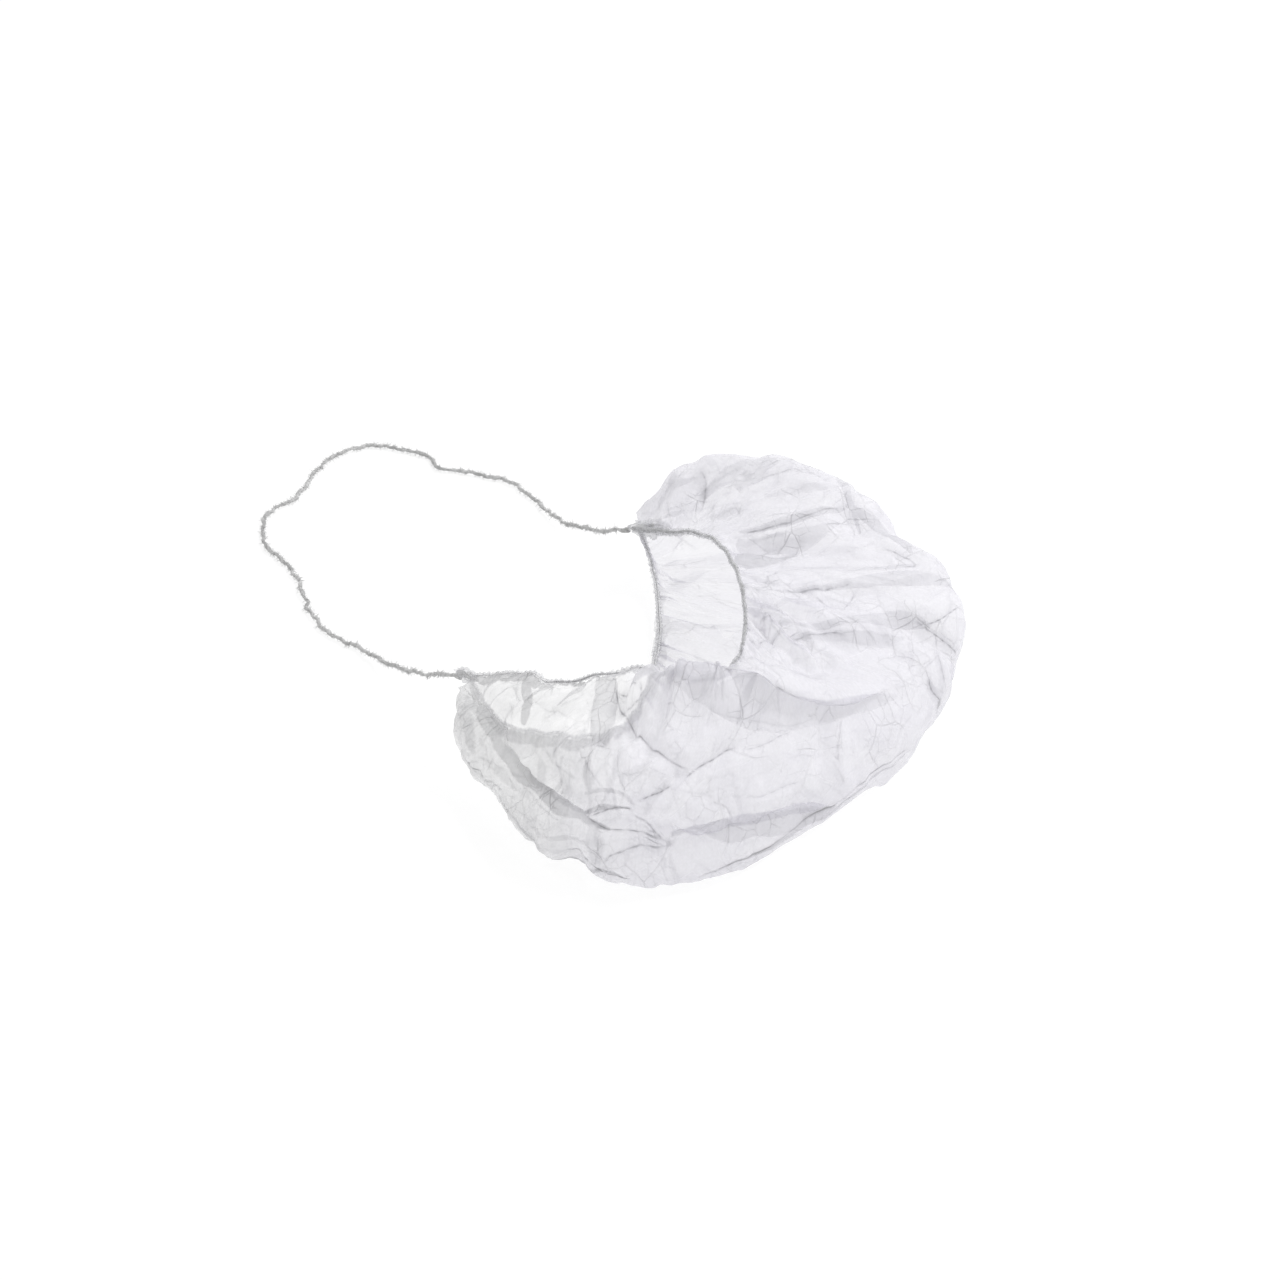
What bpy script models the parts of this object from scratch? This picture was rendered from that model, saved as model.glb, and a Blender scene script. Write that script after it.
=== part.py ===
"""Disposable beard cover, lying as it comes to rest on a flat surface.

Frame, in metres: +Z up from the surface, the wearer's front towards -Y and the head loop towards +Y.
X = 0 is midway between the two joins, and the origin is on the flat underside that the pouch rests on.
The pouch is described by sections that fan out from one join, round the front, to the other join.
Each section runs from the mouth rim over the crown to the outer edge, and back along the underside
to the throat rim. Tables hold their lengths as shares of the named sizes below.
"""
from typing import NamedTuple

import bmesh
import bpy
import numpy as np
from mathutils import Vector

# Driving sizes of the pouch
JOIN_SPAN = 0.100
JOIN_HEIGHT = 0.027
JOIN_SETBACK = 0.070
MOUTH_REACH = 0.085
MOUTH_HEIGHT = 0.050
THROAT_REACH = 0.0415
THROAT_HEIGHT = 0.003
POUCH_WIDTH = 0.187
POUCH_REACH = 0.136
POUCH_LEAN = 0.0055
PUFF_HEIGHT = 0.050
FABRIC_WALL = 0.0012

# The section's form: where the wall bulges most, how far it tucks under, and how late it rises to the throat
BULGE_SHIFT = 1.35
BULGE_SHARPNESS = 1.2
TUCK_SHARE = 0.8
TUCK_LIMIT = 0.4
THROAT_SHARPNESS = 6

# Elastics and joins
RIM_DIAMETER = 0.0026
LOOP_DIAMETER = 0.0024
JOIN_LENGTH = 0.0110
JOIN_DIAMETER = 0.0056
CLEARANCE = 0.0003
SEAT_CLEARANCE = 0.0005

# Gathers that the elastic draws into the fabric
PLEAT_COUNT = 13
PLEAT_DEPTH = 0.0022
MOUTH_PLEAT_LENGTH = 0.062
THROAT_PLEAT_LENGTH = 0.024
PLEAT_START = 0.004
RUFFLE_COUNT = 26
RUFFLE_DEPTH = 0.0008
RUFFLE_LENGTH = 0.016
RIM_WAVE_COUNT = 17
RIM_WAVE_DEPTH = 0.0007
GATHER_END_FADE = 0.6

# How unevenly the gathers are spaced, as shares of the way round, and how often that changes
WIDE_DRIFT = 0.06
WIDE_DRIFT_COUNT = 3
FINE_DRIFT = 0.04
FINE_DRIFT_COUNT = 5

# The main folds' usual half width and depth
FOLD_WIDTH = 0.0044
FOLD_DEPTH = 0.0042
FOLD_END_FADE = 0.5
FOLD_END = 0.08

# Fineness of the solids
SECTION_COUNT = 100
FOLD_STEPS = 25
SECTION_POINTS = 24
RIM_POINTS = 38
SECTION_SAMPLES = 600
RIM_SAMPLES = 400
NORMAL_PASSES = 8
UPPER_SAMPLES = 90
TUCK_SAMPLES = 20
FLOOR_SAMPLES = 50


class RimRow(NamedTuple):
    """A point of a rim: across of half the join span, forward of the rim's reach, turn of its rise or drop."""

    across: float
    forward: float
    turn: float


class EdgeRow(NamedTuple):
    """A section's outer edge.

    join_pull is how far the section follows its join, from 1 at the join to 0.
    across and forward are shares of half the pouch's width and of its reach.
    height and crown are shares of the puffed height, crown being how far the wall bulges above its run.
    belly is the underside's height as a share of the joins' height, 0 where it lies on the surface.
    """

    join_pull: float
    across: float
    forward: float
    height: float
    crown: float
    belly: float


class FinenessRow(NamedTuple):
    """How closely the grid's lines lie at a level of the section."""

    level: float
    closeness: float


class FoldRow(NamedTuple):
    """A fold through three points, each a section number and a level from 0 at the mouth rim to 1 at the throat.

    width and depth are multiples of the usual ones, and a fold of negative depth stands out.
    """

    name: str
    start: tuple
    middle: tuple
    end: tuple
    width: float
    depth: float


# The mouth rim from the right join to the left, its turn rising from the joins' height to the mouth's
MOUTH_RIM = [
    RimRow(-1.00, 0.00, 0.00),
    RimRow(-0.93, 0.13, 0.17),
    RimRow(-0.89, 0.26, 0.35),
    RimRow(-0.91, 0.38, 0.43),
    RimRow(-0.78, 0.53, 0.63),
    RimRow(-0.62, 0.68, 0.80),
    RimRow(-0.60, 0.85, 0.93),
    RimRow(-0.51, 0.99, 1.00),
    RimRow(-0.25, 0.99, 1.00),
    RimRow(0.02, 0.92, 1.00),
    RimRow(0.27, 0.82, 0.96),
    RimRow(0.50, 0.71, 0.89),
    RimRow(0.70, 0.59, 0.78),
    RimRow(0.88, 0.46, 0.63),
    RimRow(1.00, 0.31, 0.42),
    RimRow(1.02, 0.14, 0.15),
    RimRow(1.00, 0.00, 0.00),
]

# The throat rim from the right join to the left, its turn dropping from the joins' height to the throat's
THROAT_RIM = [
    RimRow(-1.00, 0.00, 0.00),
    RimRow(-1.02, 0.17, 0.35),
    RimRow(-0.97, 0.34, 0.69),
    RimRow(-0.86, 0.49, 0.83),
    RimRow(-0.74, 0.67, 0.92),
    RimRow(-0.61, 0.87, 0.98),
    RimRow(-0.43, 0.99, 1.00),
    RimRow(-0.22, 1.00, 1.00),
    RimRow(0.00, 0.92, 1.00),
    RimRow(0.20, 0.82, 1.00),
    RimRow(0.40, 0.70, 1.00),
    RimRow(0.58, 0.58, 0.98),
    RimRow(0.75, 0.43, 0.94),
    RimRow(0.91, 0.28, 0.85),
    RimRow(1.04, 0.12, 0.71),
    RimRow(1.09, 0.00, 0.38),
    RimRow(1.00, 0.00, 0.00),
]

# The outer edge, section by section
OUTER_EDGE = [
    EdgeRow(1.0, -0.043, -0.011, -0.04, 0.00, 0.89),
    EdgeRow(0.6, -0.376, 0.029, 0.08, 0.00, 0.33),
    EdgeRow(0.3, -0.635, 0.081, 0.11, 0.02, 0.04),
    EdgeRow(0.1, -0.786, 0.169, 0.15, 0.04, 0.00),
    EdgeRow(0.0, -0.925, 0.287, 0.18, 0.06, 0.00),
    EdgeRow(0.0, -1.000, 0.426, 0.16, 0.10, 0.00),
    EdgeRow(0.0, -0.973, 0.581, 0.14, 0.16, 0.00),
    EdgeRow(0.0, -0.856, 0.732, 0.14, 0.20, 0.00),
    EdgeRow(0.0, -0.594, 0.857, 0.14, 0.16, 0.00),
    EdgeRow(0.0, -0.187, 0.938, 0.16, 0.02, 0.00),
    EdgeRow(0.0, 0.176, 1.000, 0.26, -0.10, 0.00),
    EdgeRow(0.0, 0.519, 0.978, 0.42, -0.10, 0.00),
    EdgeRow(0.0, 0.840, 0.846, 0.54, 0.08, 0.00),
    EdgeRow(0.0, 0.957, 0.618, 0.56, 0.24, 0.00),
    EdgeRow(0.0, 1.000, 0.353, 0.56, 0.36, 0.00),
    EdgeRow(0.2, 0.744, 0.037, 0.47, 0.28, 0.11),
    EdgeRow(1.0, 0.059, -0.055, -0.04, 0.00, 0.81),
]

# The grid is finest beside the rims and on the folded upper wall
FINENESS = [
    FinenessRow(0.00, 2.4),
    FinenessRow(0.08, 1.5),
    FinenessRow(0.20, 1.7),
    FinenessRow(0.46, 1.7),
    FinenessRow(0.60, 0.6),
    FinenessRow(0.90, 0.6),
    FinenessRow(1.00, 1.6),
]

# The main folds, in section numbers and levels
FOLDS = [
    FoldRow("long pleat, rear", (1.2, 0.23), (3.2, 0.29), (5.5, 0.38), 0.95, 1.70),
    FoldRow("long pleat, front", (5.0, 0.37), (6.9, 0.37), (8.6, 0.36), 1.05, 1.45),
    FoldRow("near bulge over the rim", (5.6, 0.07), (7.1, 0.07), (8.6, 0.12), 1.95, -2.00),
    FoldRow("near ridge", (8.0, 0.10), (9.0, 0.19), (10.5, 0.32), 1.35, -1.05),
    FoldRow("near ridge foot", (8.9, 0.08), (9.7, 0.17), (11.0, 0.29), 1.50, 1.20),
    FoldRow("left lobe valley", (12.9, 0.03), (12.3, 0.16), (12.2, 0.30), 1.80, 1.80),
    FoldRow("left lobe crease", (13.4, 0.33), (13.0, 0.25), (12.2, 0.28), 1.25, 0.95),
    FoldRow("left lobe rear crease", (15.0, 0.26), (14.8, 0.17), (14.5, 0.10), 1.15, 0.75),
    FoldRow("upper front gather", (10.6, 0.03), (11.4, 0.20), (12.0, 0.40), 1.10, 1.00),
    FoldRow("middle front gather", (9.2, 0.03), (10.3, 0.17), (11.1, 0.32), 1.10, 1.00),
    FoldRow("tip crease", (11.2, 0.24), (11.2, 0.32), (11.1, 0.42), 1.00, 0.95),
    FoldRow("tip fold", (10.9, 0.26), (10.6, 0.33), (10.3, 0.42), 1.00, 0.85),
    FoldRow("near slanting crease", (4.9, 0.09), (5.8, 0.17), (7.0, 0.24), 0.90, 0.90),
    FoldRow("near return crease", (7.1, 0.25), (7.5, 0.22), (8.0, 0.20), 0.85, 0.75),
    FoldRow("near upper pleat", (5.5, 0.35), (6.2, 0.32), (7.0, 0.26), 0.90, 0.85),
    FoldRow("near lobe tuck", (6.0, 0.47), (6.3, 0.42), (7.0, 0.38), 0.90, 0.85),
    FoldRow("front cross crease", (9.1, 0.25), (8.9, 0.30), (8.7, 0.37), 0.90, 0.75),
    FoldRow("edge notch", (5.5, 0.46), (5.5, 0.53), (5.55, 0.60), 1.25, 1.70),
    FoldRow("left edge notch", (12.9, 0.24), (12.8, 0.34), (12.7, 0.46), 1.90, 1.30),
]

# The head loop's route from the right join to the left, where it lies, in metres
LOOP_ROUTE = [
    (-0.0500, 0.0788, 0.0268),
    (-0.0484, 0.0868, 0.0208),
    (-0.0462, 0.0960, 0.0138),
    (-0.0438, 0.1058, 0.0080),
    (-0.0408, 0.1150, 0.0036),
    (-0.0383, 0.1245, 0.0016),
    (-0.0377, 0.1342, 0.0014),
    (-0.0366, 0.1462, 0.0014),
    (-0.0332, 0.1548, 0.0014),
    (-0.0266, 0.1655, 0.0014),
    (-0.0188, 0.1752, 0.0014),
    (-0.0142, 0.1862, 0.0014),
    (-0.0112, 0.1950, 0.0014),
    (-0.0056, 0.2032, 0.0014),
    (0.0016, 0.2082, 0.0014),
    (0.0094, 0.2086, 0.0014),
    (0.0164, 0.2064, 0.0014),
    (0.0244, 0.2078, 0.0014),
    (0.0340, 0.2108, 0.0014),
    (0.0452, 0.2124, 0.0014),
    (0.0542, 0.2088, 0.0014),
    (0.0614, 0.2028, 0.0014),
    (0.0652, 0.1936, 0.0014),
    (0.0672, 0.1828, 0.0014),
    (0.0648, 0.1728, 0.0014),
    (0.0676, 0.1638, 0.0014),
    (0.0704, 0.1560, 0.0014),
    (0.0728, 0.1486, 0.0014),
    (0.0716, 0.1392, 0.0014),
    (0.0676, 0.1272, 0.0018),
    (0.0622, 0.1148, 0.0044),
    (0.0578, 0.1026, 0.0098),
    (0.0538, 0.0912, 0.0162),
    (0.0500, 0.0788, 0.0268),
]
LOOP_POINTS = 66

SECTIONS = len(OUTER_EDGE)
HALF_WALL = FABRIC_WALL / 2
RIM_RADIUS = RIM_DIAMETER / 2


def clear_scene() -> None:
    """Removes whatever the scene holds."""
    for item in list(bpy.data.objects):
        bpy.data.objects.remove(item, do_unlink=True)


def material(name: str, colour: tuple, roughness: float, alpha: float = 1.0):
    """Makes a plain material in the piece's colour."""
    made = bpy.data.materials.new(name)
    made.use_nodes = True
    shader = made.node_tree.nodes["Principled BSDF"]
    shader.inputs["Base Color"].default_value = (*colour, 1.0)
    shader.inputs["Roughness"].default_value = roughness
    shader.inputs["Metallic"].default_value = 0.0
    shader.inputs["Alpha"].default_value = alpha
    made.diffuse_color = (*colour, alpha)
    return made


def join_point(side: float) -> np.ndarray:
    """Gives the centre of the right (side -1) or left (side 1) join."""
    return np.array([side * JOIN_SPAN / 2, JOIN_SETBACK, JOIN_HEIGHT])


def mouth_points() -> np.ndarray:
    """Gives the mouth rim's table in metres."""
    rise = MOUTH_HEIGHT - JOIN_HEIGHT
    return np.array([
        (row.across * JOIN_SPAN / 2, JOIN_SETBACK - row.forward * MOUTH_REACH, JOIN_HEIGHT + row.turn * rise)
        for row in MOUTH_RIM
    ])


def throat_points() -> np.ndarray:
    """Gives the throat rim's table in metres."""
    drop = JOIN_HEIGHT - THROAT_HEIGHT
    return np.array([
        (row.across * JOIN_SPAN / 2, JOIN_SETBACK - row.forward * THROAT_REACH, JOIN_HEIGHT - row.turn * drop)
        for row in THROAT_RIM
    ])


def edge_points() -> np.ndarray:
    """Gives the outer edge's table in metres, as place, crown rise and belly height."""
    rows = []
    for number, row in enumerate(OUTER_EDGE):
        side = -1 if number < SECTIONS / 2 else 1
        own = POUCH_LEAN * (1 - row.join_pull) + row.across * POUCH_WIDTH / 2
        rows.append((
            row.join_pull * side * JOIN_SPAN / 2 + own,
            JOIN_SETBACK - row.forward * POUCH_REACH,
            row.join_pull * JOIN_HEIGHT + row.height * PUFF_HEIGHT,
            row.crown * PUFF_HEIGHT,
            row.belly * JOIN_HEIGHT,
        ))
    return np.array(rows)


def along(rows: np.ndarray, number) -> np.ndarray:
    """Reads a smooth curve through the rows at a section number, which may be a fraction or an array."""
    last = len(rows) - 1
    place = np.clip(np.asarray(number, float), 0, last)
    low = np.minimum(place.astype(int), last - 1)
    part = (place - low)[..., None]
    padded = np.vstack([2 * rows[0] - rows[1], rows, 2 * rows[-1] - rows[-2]])
    before, start, end, after = (padded[low + step] for step in range(4))
    bend = 2 * before - 5 * start + 4 * end - after
    twist = 3 * start - before - 3 * end + after
    return 0.5 * (2 * start + (end - before) * part + bend * part**2 + twist * part**3)


def resample(points: np.ndarray, places: np.ndarray) -> np.ndarray:
    """Reads a polyline at given lengths along it."""
    steps = np.linalg.norm(np.diff(points, axis=0), axis=1)
    lengths = np.concatenate([[0.0], np.cumsum(steps)])
    return np.stack([np.interp(places, lengths, points[:, axis]) for axis in range(points.shape[1])], axis=1)


def length_of(points: np.ndarray) -> float:
    """Gives a polyline's length."""
    return float(np.linalg.norm(np.diff(points, axis=0), axis=1).sum())


def rim_place(rows: np.ndarray, number) -> np.ndarray:
    """Reads a rim's centre line at section numbers, slightly waved by its gathers."""
    turn = np.asarray(number, float) / (SECTIONS - 1)
    ends = np.abs(np.sin(np.pi * turn)) ** GATHER_END_FADE
    wave = RIM_WAVE_DEPTH * np.sin(2 * np.pi * RIM_WAVE_COUNT * turn) * ends
    place = along(rows, number)
    place[..., 2] = np.maximum(place[..., 2] + wave, RIM_RADIUS + CLEARANCE)
    return place


def section(number: float) -> np.ndarray:
    """Gives one section of the fabric's middle surface, from the mouth rim's centre line to the throat rim's."""
    mouth = rim_place(mouth_points(), number)
    throat = rim_place(throat_points(), number)
    row = along(edge_points(), number)
    edge, crown, belly = row[:3], row[3], row[4]

    share = np.linspace(0, 1, UPPER_SAMPLES)[:, None]
    out, level = np.sin(share * np.pi / 2), np.cos(share * np.pi / 2)
    bulge = crown * np.abs(np.sin(np.pi * share**BULGE_SHIFT)) ** BULGE_SHARPNESS
    upper = np.hstack([mouth[:2] + (edge[:2] - mouth[:2]) * out, edge[2] + (mouth[2] - edge[2]) * level + bulge])

    inward = throat[:2] - edge[:2]
    reach = float(np.linalg.norm(inward))
    tuck = min(TUCK_SHARE * max(edge[2] - belly, 0.0), TUCK_LIMIT * reach)
    sole = edge[:2] + inward / reach * tuck
    share = np.linspace(0, 1, TUCK_SAMPLES)[1:, None]
    turned = 1 - np.cos(share * np.pi / 2)
    under = np.hstack([edge[:2] + (sole - edge[:2]) * turned, edge[2] + (belly - edge[2]) * np.sin(share * np.pi / 2)])
    share = np.linspace(0, 1, FLOOR_SAMPLES)[1:, None]
    floor = np.hstack([sole + (throat[:2] - sole) * share, belly + (throat[2] - belly) * share**THROAT_SHARPNESS])
    return np.vstack([upper, under, floor])


def clear_length(line: np.ndarray, rim: np.ndarray) -> float:
    """Gives the length along a section, from its start, at which it has left the rim's elastic behind."""
    near = line[: len(line) // 2]
    away = np.linalg.norm(near[:, None] - rim[None], axis=2).min(axis=1)
    first = int(np.argmax(away > RIM_RADIUS + SEAT_CLEARANCE))
    return length_of(near[: first + 1])


def grid_levels() -> np.ndarray:
    """Gives the levels of the grid's lines, from 0 at the mouth rim to 1 at the throat rim."""
    fine = np.linspace(0, 1, 500)
    closeness = np.interp(fine, [row.level for row in FINENESS], [row.closeness for row in FINENESS])
    passed = np.concatenate([[0.0], np.cumsum((closeness[1:] + closeness[:-1]) / 2)])
    return np.interp(np.linspace(0, passed[-1], SECTION_POINTS), passed, fine)


def base_surface(numbers: np.ndarray, levels: np.ndarray) -> tuple:
    """Gives the smooth middle surface as a grid, with each grid point's distance from both rims."""
    fine = np.linspace(0, SECTIONS - 1, RIM_SAMPLES)
    mouth, throat = (rim_place(rows, fine) for rows in (mouth_points(), throat_points()))
    grid, from_mouth, from_throat = [], [], []
    for number in numbers:
        line = section(number)
        line = resample(line, np.linspace(0, length_of(line), SECTION_SAMPLES))
        whole = length_of(line)
        first, last = clear_length(line, mouth), whole - clear_length(line[::-1], throat)
        places = first + (last - first) * levels
        grid.append(resample(line, places))
        from_mouth.append(places)
        from_throat.append(whole - places)
    return np.array(grid), np.array(from_mouth), np.array(from_throat)


def unit(vectors: np.ndarray) -> np.ndarray:
    """Gives a grid of vectors the length 1."""
    return vectors / np.maximum(np.linalg.norm(vectors, axis=2, keepdims=True), 1e-12)


def surface_normals(grid: np.ndarray) -> np.ndarray:
    """Gives the outward unit normals of a grid of points, evened out from section to section."""
    normals = unit(np.cross(np.gradient(grid, axis=1), np.gradient(grid, axis=0)))
    for _ in range(NORMAL_PASSES):
        normals[1:-1] = (normals[:-2] + 2 * normals[1:-1] + normals[2:]) / 4
    return unit(normals)


def fold_offsets(grid: np.ndarray, numbers: np.ndarray, levels: np.ndarray) -> np.ndarray:
    """Gives how far each grid point sinks into the folds that pass it."""
    sunk = np.zeros(grid.shape[:2])
    for row in FOLDS:
        steps = np.linspace(0, 1, FOLD_STEPS)[:, None]
        corners = [np.array(corner) for corner in (row.start, row.middle, row.end)]
        through = 2 * corners[1] - (corners[0] + corners[2]) / 2
        path = (1 - steps) ** 2 * corners[0] + 2 * steps * (1 - steps) * through + steps**2 * corners[2]
        line = np.array([
            resample_grid(grid, numbers, levels, number, level)
            for number, level in path
        ])
        nearest = np.full(grid.shape[:2], np.inf)
        fade = np.zeros(grid.shape[:2])
        for point, step in zip(line, steps[:, 0]):
            away = np.linalg.norm(grid - point, axis=2)
            closer = away < nearest
            nearest = np.where(closer, away, nearest)
            strength = np.sin(np.pi * min(max(step, FOLD_END), 1 - FOLD_END)) ** FOLD_END_FADE
            fade = np.where(closer, strength, fade)
        sunk += row.depth * FOLD_DEPTH * fade * np.exp(-((nearest / (row.width * FOLD_WIDTH)) ** 2))
    return sunk


def resample_grid(grid: np.ndarray, numbers: np.ndarray, levels: np.ndarray, number: float, level: float):
    """Reads the grid at a section number and a level."""
    across = float(np.interp(number, numbers, np.arange(len(numbers))))
    low = min(int(across), len(numbers) - 2)
    row = grid[low] + (grid[low + 1] - grid[low]) * (across - low)
    return np.array([np.interp(level, levels, row[:, axis]) for axis in range(3)])


def faded(away: np.ndarray, length: float) -> np.ndarray:
    """Gives a smooth fade from 1 to 0 over a length."""
    return np.maximum(1 - (away / length) ** 2, 0) ** 2


def gather_offsets(numbers: np.ndarray, from_mouth: np.ndarray, from_throat: np.ndarray) -> np.ndarray:
    """Gives the gathers' waves, deepest beside the rims and fading into the pouch and towards the joins."""
    turn = (numbers / (SECTIONS - 1))[:, None]
    ends = np.sin(np.pi * turn) ** GATHER_END_FADE
    drift = WIDE_DRIFT * np.sin(2 * np.pi * WIDE_DRIFT_COUNT * turn)
    drift = drift + FINE_DRIFT * np.sin(2 * np.pi * FINE_DRIFT_COUNT * turn)
    pleats = PLEAT_DEPTH * np.sin(2 * np.pi * PLEAT_COUNT * (turn + drift))
    ruffles = RUFFLE_DEPTH * np.sin(2 * np.pi * RUFFLE_COUNT * (turn + drift / 2))
    waves = 0.0
    for away, length in ((from_mouth, MOUTH_PLEAT_LENGTH), (from_throat, THROAT_PLEAT_LENGTH)):
        waves = waves + pleats * faded(away, length) * np.minimum(away / PLEAT_START, 1)
        waves = waves + ruffles * faded(away, RUFFLE_LENGTH)
    return waves * ends


def end_numbers() -> tuple:
    """Gives the section numbers between which the fabric runs, just clear of both joins."""
    fine = np.linspace(0, SECTIONS - 1, RIM_SAMPLES)
    clear = np.ones(len(fine), bool)
    for rows in (mouth_points(), throat_points()):
        line = along(rows, fine)
        for side in (-1, 1):
            away = np.linalg.norm(line - join_point(side), axis=1)
            clear &= away > JOIN_DIAMETER / 2 + FABRIC_WALL + CLEARANCE
    kept = fine[clear]
    return kept[0], kept[-1]


def pouch_grid() -> np.ndarray:
    """Gives the gathered and folded middle surface of the fabric."""
    first, last = end_numbers()
    numbers = np.linspace(first, last, SECTION_COUNT)
    levels = grid_levels()
    grid, from_mouth, from_throat = base_surface(numbers, levels)
    normals = surface_normals(grid)
    held = np.minimum(from_mouth / PLEAT_START, 1) ** 2
    offsets = gather_offsets(numbers, from_mouth, from_throat) - held * fold_offsets(grid, numbers, levels)
    grid = grid + normals * offsets[..., None]
    grid[..., 2] = np.maximum(grid[..., 2], HALF_WALL)
    return grid


def build_pouch(colour) -> None:
    """Builds the hollow pouch as one wall of fabric, open between its rims."""
    grid = pouch_grid()
    mesh = bmesh.new()
    bmesh.ops.create_grid(mesh, x_segments=SECTION_COUNT - 1, y_segments=SECTION_POINTS - 1, size=0.5)
    mesh.verts.ensure_lookup_table()
    for vert in mesh.verts:
        row = round((vert.co.x + 0.5) * (SECTION_COUNT - 1))
        column = round((vert.co.y + 0.5) * (SECTION_POINTS - 1))
        vert.co = Vector(grid[row, column])
    bmesh.ops.reverse_faces(mesh, faces=mesh.faces)
    data = bpy.data.meshes.new("pouch")
    mesh.to_mesh(data)
    mesh.free()
    data.shade_smooth()
    pouch = bpy.data.objects.new("pouch", data)
    bpy.context.scene.collection.objects.link(pouch)
    data.materials.append(colour)
    wall = pouch.modifiers.new("wall", "SOLIDIFY")
    wall.thickness = FABRIC_WALL
    wall.offset = 0.0


def build_tube(name: str, points: np.ndarray, diameter: float, colour) -> None:
    """Builds a round tube with filled caps along the points."""
    curve = bpy.data.curves.new(name, "CURVE")
    curve.dimensions = "3D"
    curve.bevel_depth = diameter / 2
    curve.bevel_resolution = 2
    curve.use_fill_caps = True
    spline = curve.splines.new("POLY")
    spline.points.add(len(points) - 1)
    for place, point in zip(spline.points, points):
        place.co = (*point, 1.0)
    tube = bpy.data.objects.new(name, curve)
    bpy.context.scene.collection.objects.link(tube)
    curve.materials.append(colour)


def rim_line(rows: np.ndarray, count: int) -> np.ndarray:
    """Gives a rim's centre line from join to join, clear of both joins."""
    fine = rim_place(rows, np.linspace(0, SECTIONS - 1, RIM_SAMPLES))
    trim = JOIN_DIAMETER / 2 + SEAT_CLEARANCE
    return resample(fine, np.linspace(trim, length_of(fine) - trim, count))


def build_join(name: str, side: float, colour) -> None:
    """Builds the bunched join, a short spindle that points towards the head loop."""
    centre = Vector(join_point(side))
    mesh = bmesh.new()
    bmesh.ops.create_uvsphere(mesh, u_segments=10, v_segments=8, radius=0.5)
    stretch = (JOIN_DIAMETER, JOIN_LENGTH, JOIN_DIAMETER)
    bmesh.ops.rotate(mesh, verts=mesh.verts, matrix=Vector((0, 0, 1)).rotation_difference(Vector((0, 1, 0))).to_matrix())
    bmesh.ops.scale(mesh, verts=mesh.verts, vec=stretch)
    tail = (JOIN_LENGTH - JOIN_DIAMETER) / 2
    bmesh.ops.translate(mesh, verts=mesh.verts, vec=centre + Vector((0, tail, 0)))
    data = bpy.data.meshes.new(name)
    mesh.to_mesh(data)
    mesh.free()
    data.shade_smooth()
    data.materials.append(colour)
    join = bpy.data.objects.new(name, data)
    bpy.context.scene.collection.objects.link(join)


def build_head_loop(colour) -> None:
    """Builds the slack elastic loop behind the head."""
    route = np.array(LOOP_ROUTE)
    fine = along(route, np.linspace(0, len(route) - 1, RIM_SAMPLES))
    line = resample(fine, np.linspace(0, length_of(fine), LOOP_POINTS))
    line[:, 2] = np.maximum(line[:, 2], LOOP_DIAMETER / 2)
    build_tube("head_loop", line, LOOP_DIAMETER, colour)


def main() -> None:
    """Builds the whole cover."""
    clear_scene()
    fabric = material("fabric", (0.92, 0.92, 0.94), 0.75)
    hem = material("gathered_hem", (0.72, 0.72, 0.73), 0.8)
    elastic = material("wrapped_elastic", (0.55, 0.55, 0.56), 0.85)
    build_pouch(fabric)
    build_tube("mouth_rim", rim_line(mouth_points(), RIM_POINTS), RIM_DIAMETER, hem)
    build_tube("throat_rim", rim_line(throat_points(), RIM_POINTS), RIM_DIAMETER, hem)
    build_join("right_join", -1, elastic)
    build_join("left_join", 1, elastic)
    build_head_loop(elastic)


main()
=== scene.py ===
"""Looks of the disposable beard cover: its fabric, hems, elastic, light and camera.

The cover lies on a pale surface: +Z is up, the wearer's front is towards -Y and the head loop towards +Y.
Each section of the fabric runs from the mouth rim over the crown to the outer edge, and back along the
underside to the throat rim. Sections are numbered 0 to 16 from the right join round the front to the left.
All sizes are in metres, and the tables' lengths are shares of the named sizes.
"""

import logging
from dataclasses import dataclass, field
from enum import Enum
from math import cos, sin
from typing import NamedTuple

import bmesh
import bpy
import numpy as np
from mathutils import Matrix, Vector, noise


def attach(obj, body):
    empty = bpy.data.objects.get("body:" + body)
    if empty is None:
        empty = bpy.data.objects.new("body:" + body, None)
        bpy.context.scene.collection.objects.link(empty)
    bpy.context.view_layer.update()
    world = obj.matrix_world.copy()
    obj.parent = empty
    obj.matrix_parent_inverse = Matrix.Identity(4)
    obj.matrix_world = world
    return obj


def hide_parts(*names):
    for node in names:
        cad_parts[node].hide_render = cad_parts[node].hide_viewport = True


LOG = logging.getLogger("beard_cover")
FLAT_LENGTH = 0.457
SECTIONS = 17
FLAT_NOISE = {"noise_dimensions": "2D"}
FLAT_CELLS = {"voronoi_dimensions": "2D"}

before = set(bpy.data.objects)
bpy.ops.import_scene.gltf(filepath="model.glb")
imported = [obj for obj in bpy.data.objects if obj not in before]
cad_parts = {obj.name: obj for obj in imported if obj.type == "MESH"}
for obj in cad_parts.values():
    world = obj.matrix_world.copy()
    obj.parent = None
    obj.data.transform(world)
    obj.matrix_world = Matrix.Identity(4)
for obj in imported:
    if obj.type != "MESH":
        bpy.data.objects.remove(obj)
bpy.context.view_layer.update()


class Side(Enum):
    """The wearer's two sides, by the sign of X."""

    RIGHT = -1
    LEFT = 1


class Rim(Enum):
    """The two gathered edges of the opening."""

    MOUTH = "mouth"
    THROAT = "throat"


class RimRow(NamedTuple):
    """A point of a rim: across of half the join span, forward of the rim's reach, turn of its rise or drop."""

    across: float
    forward: float
    turn: float


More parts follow.
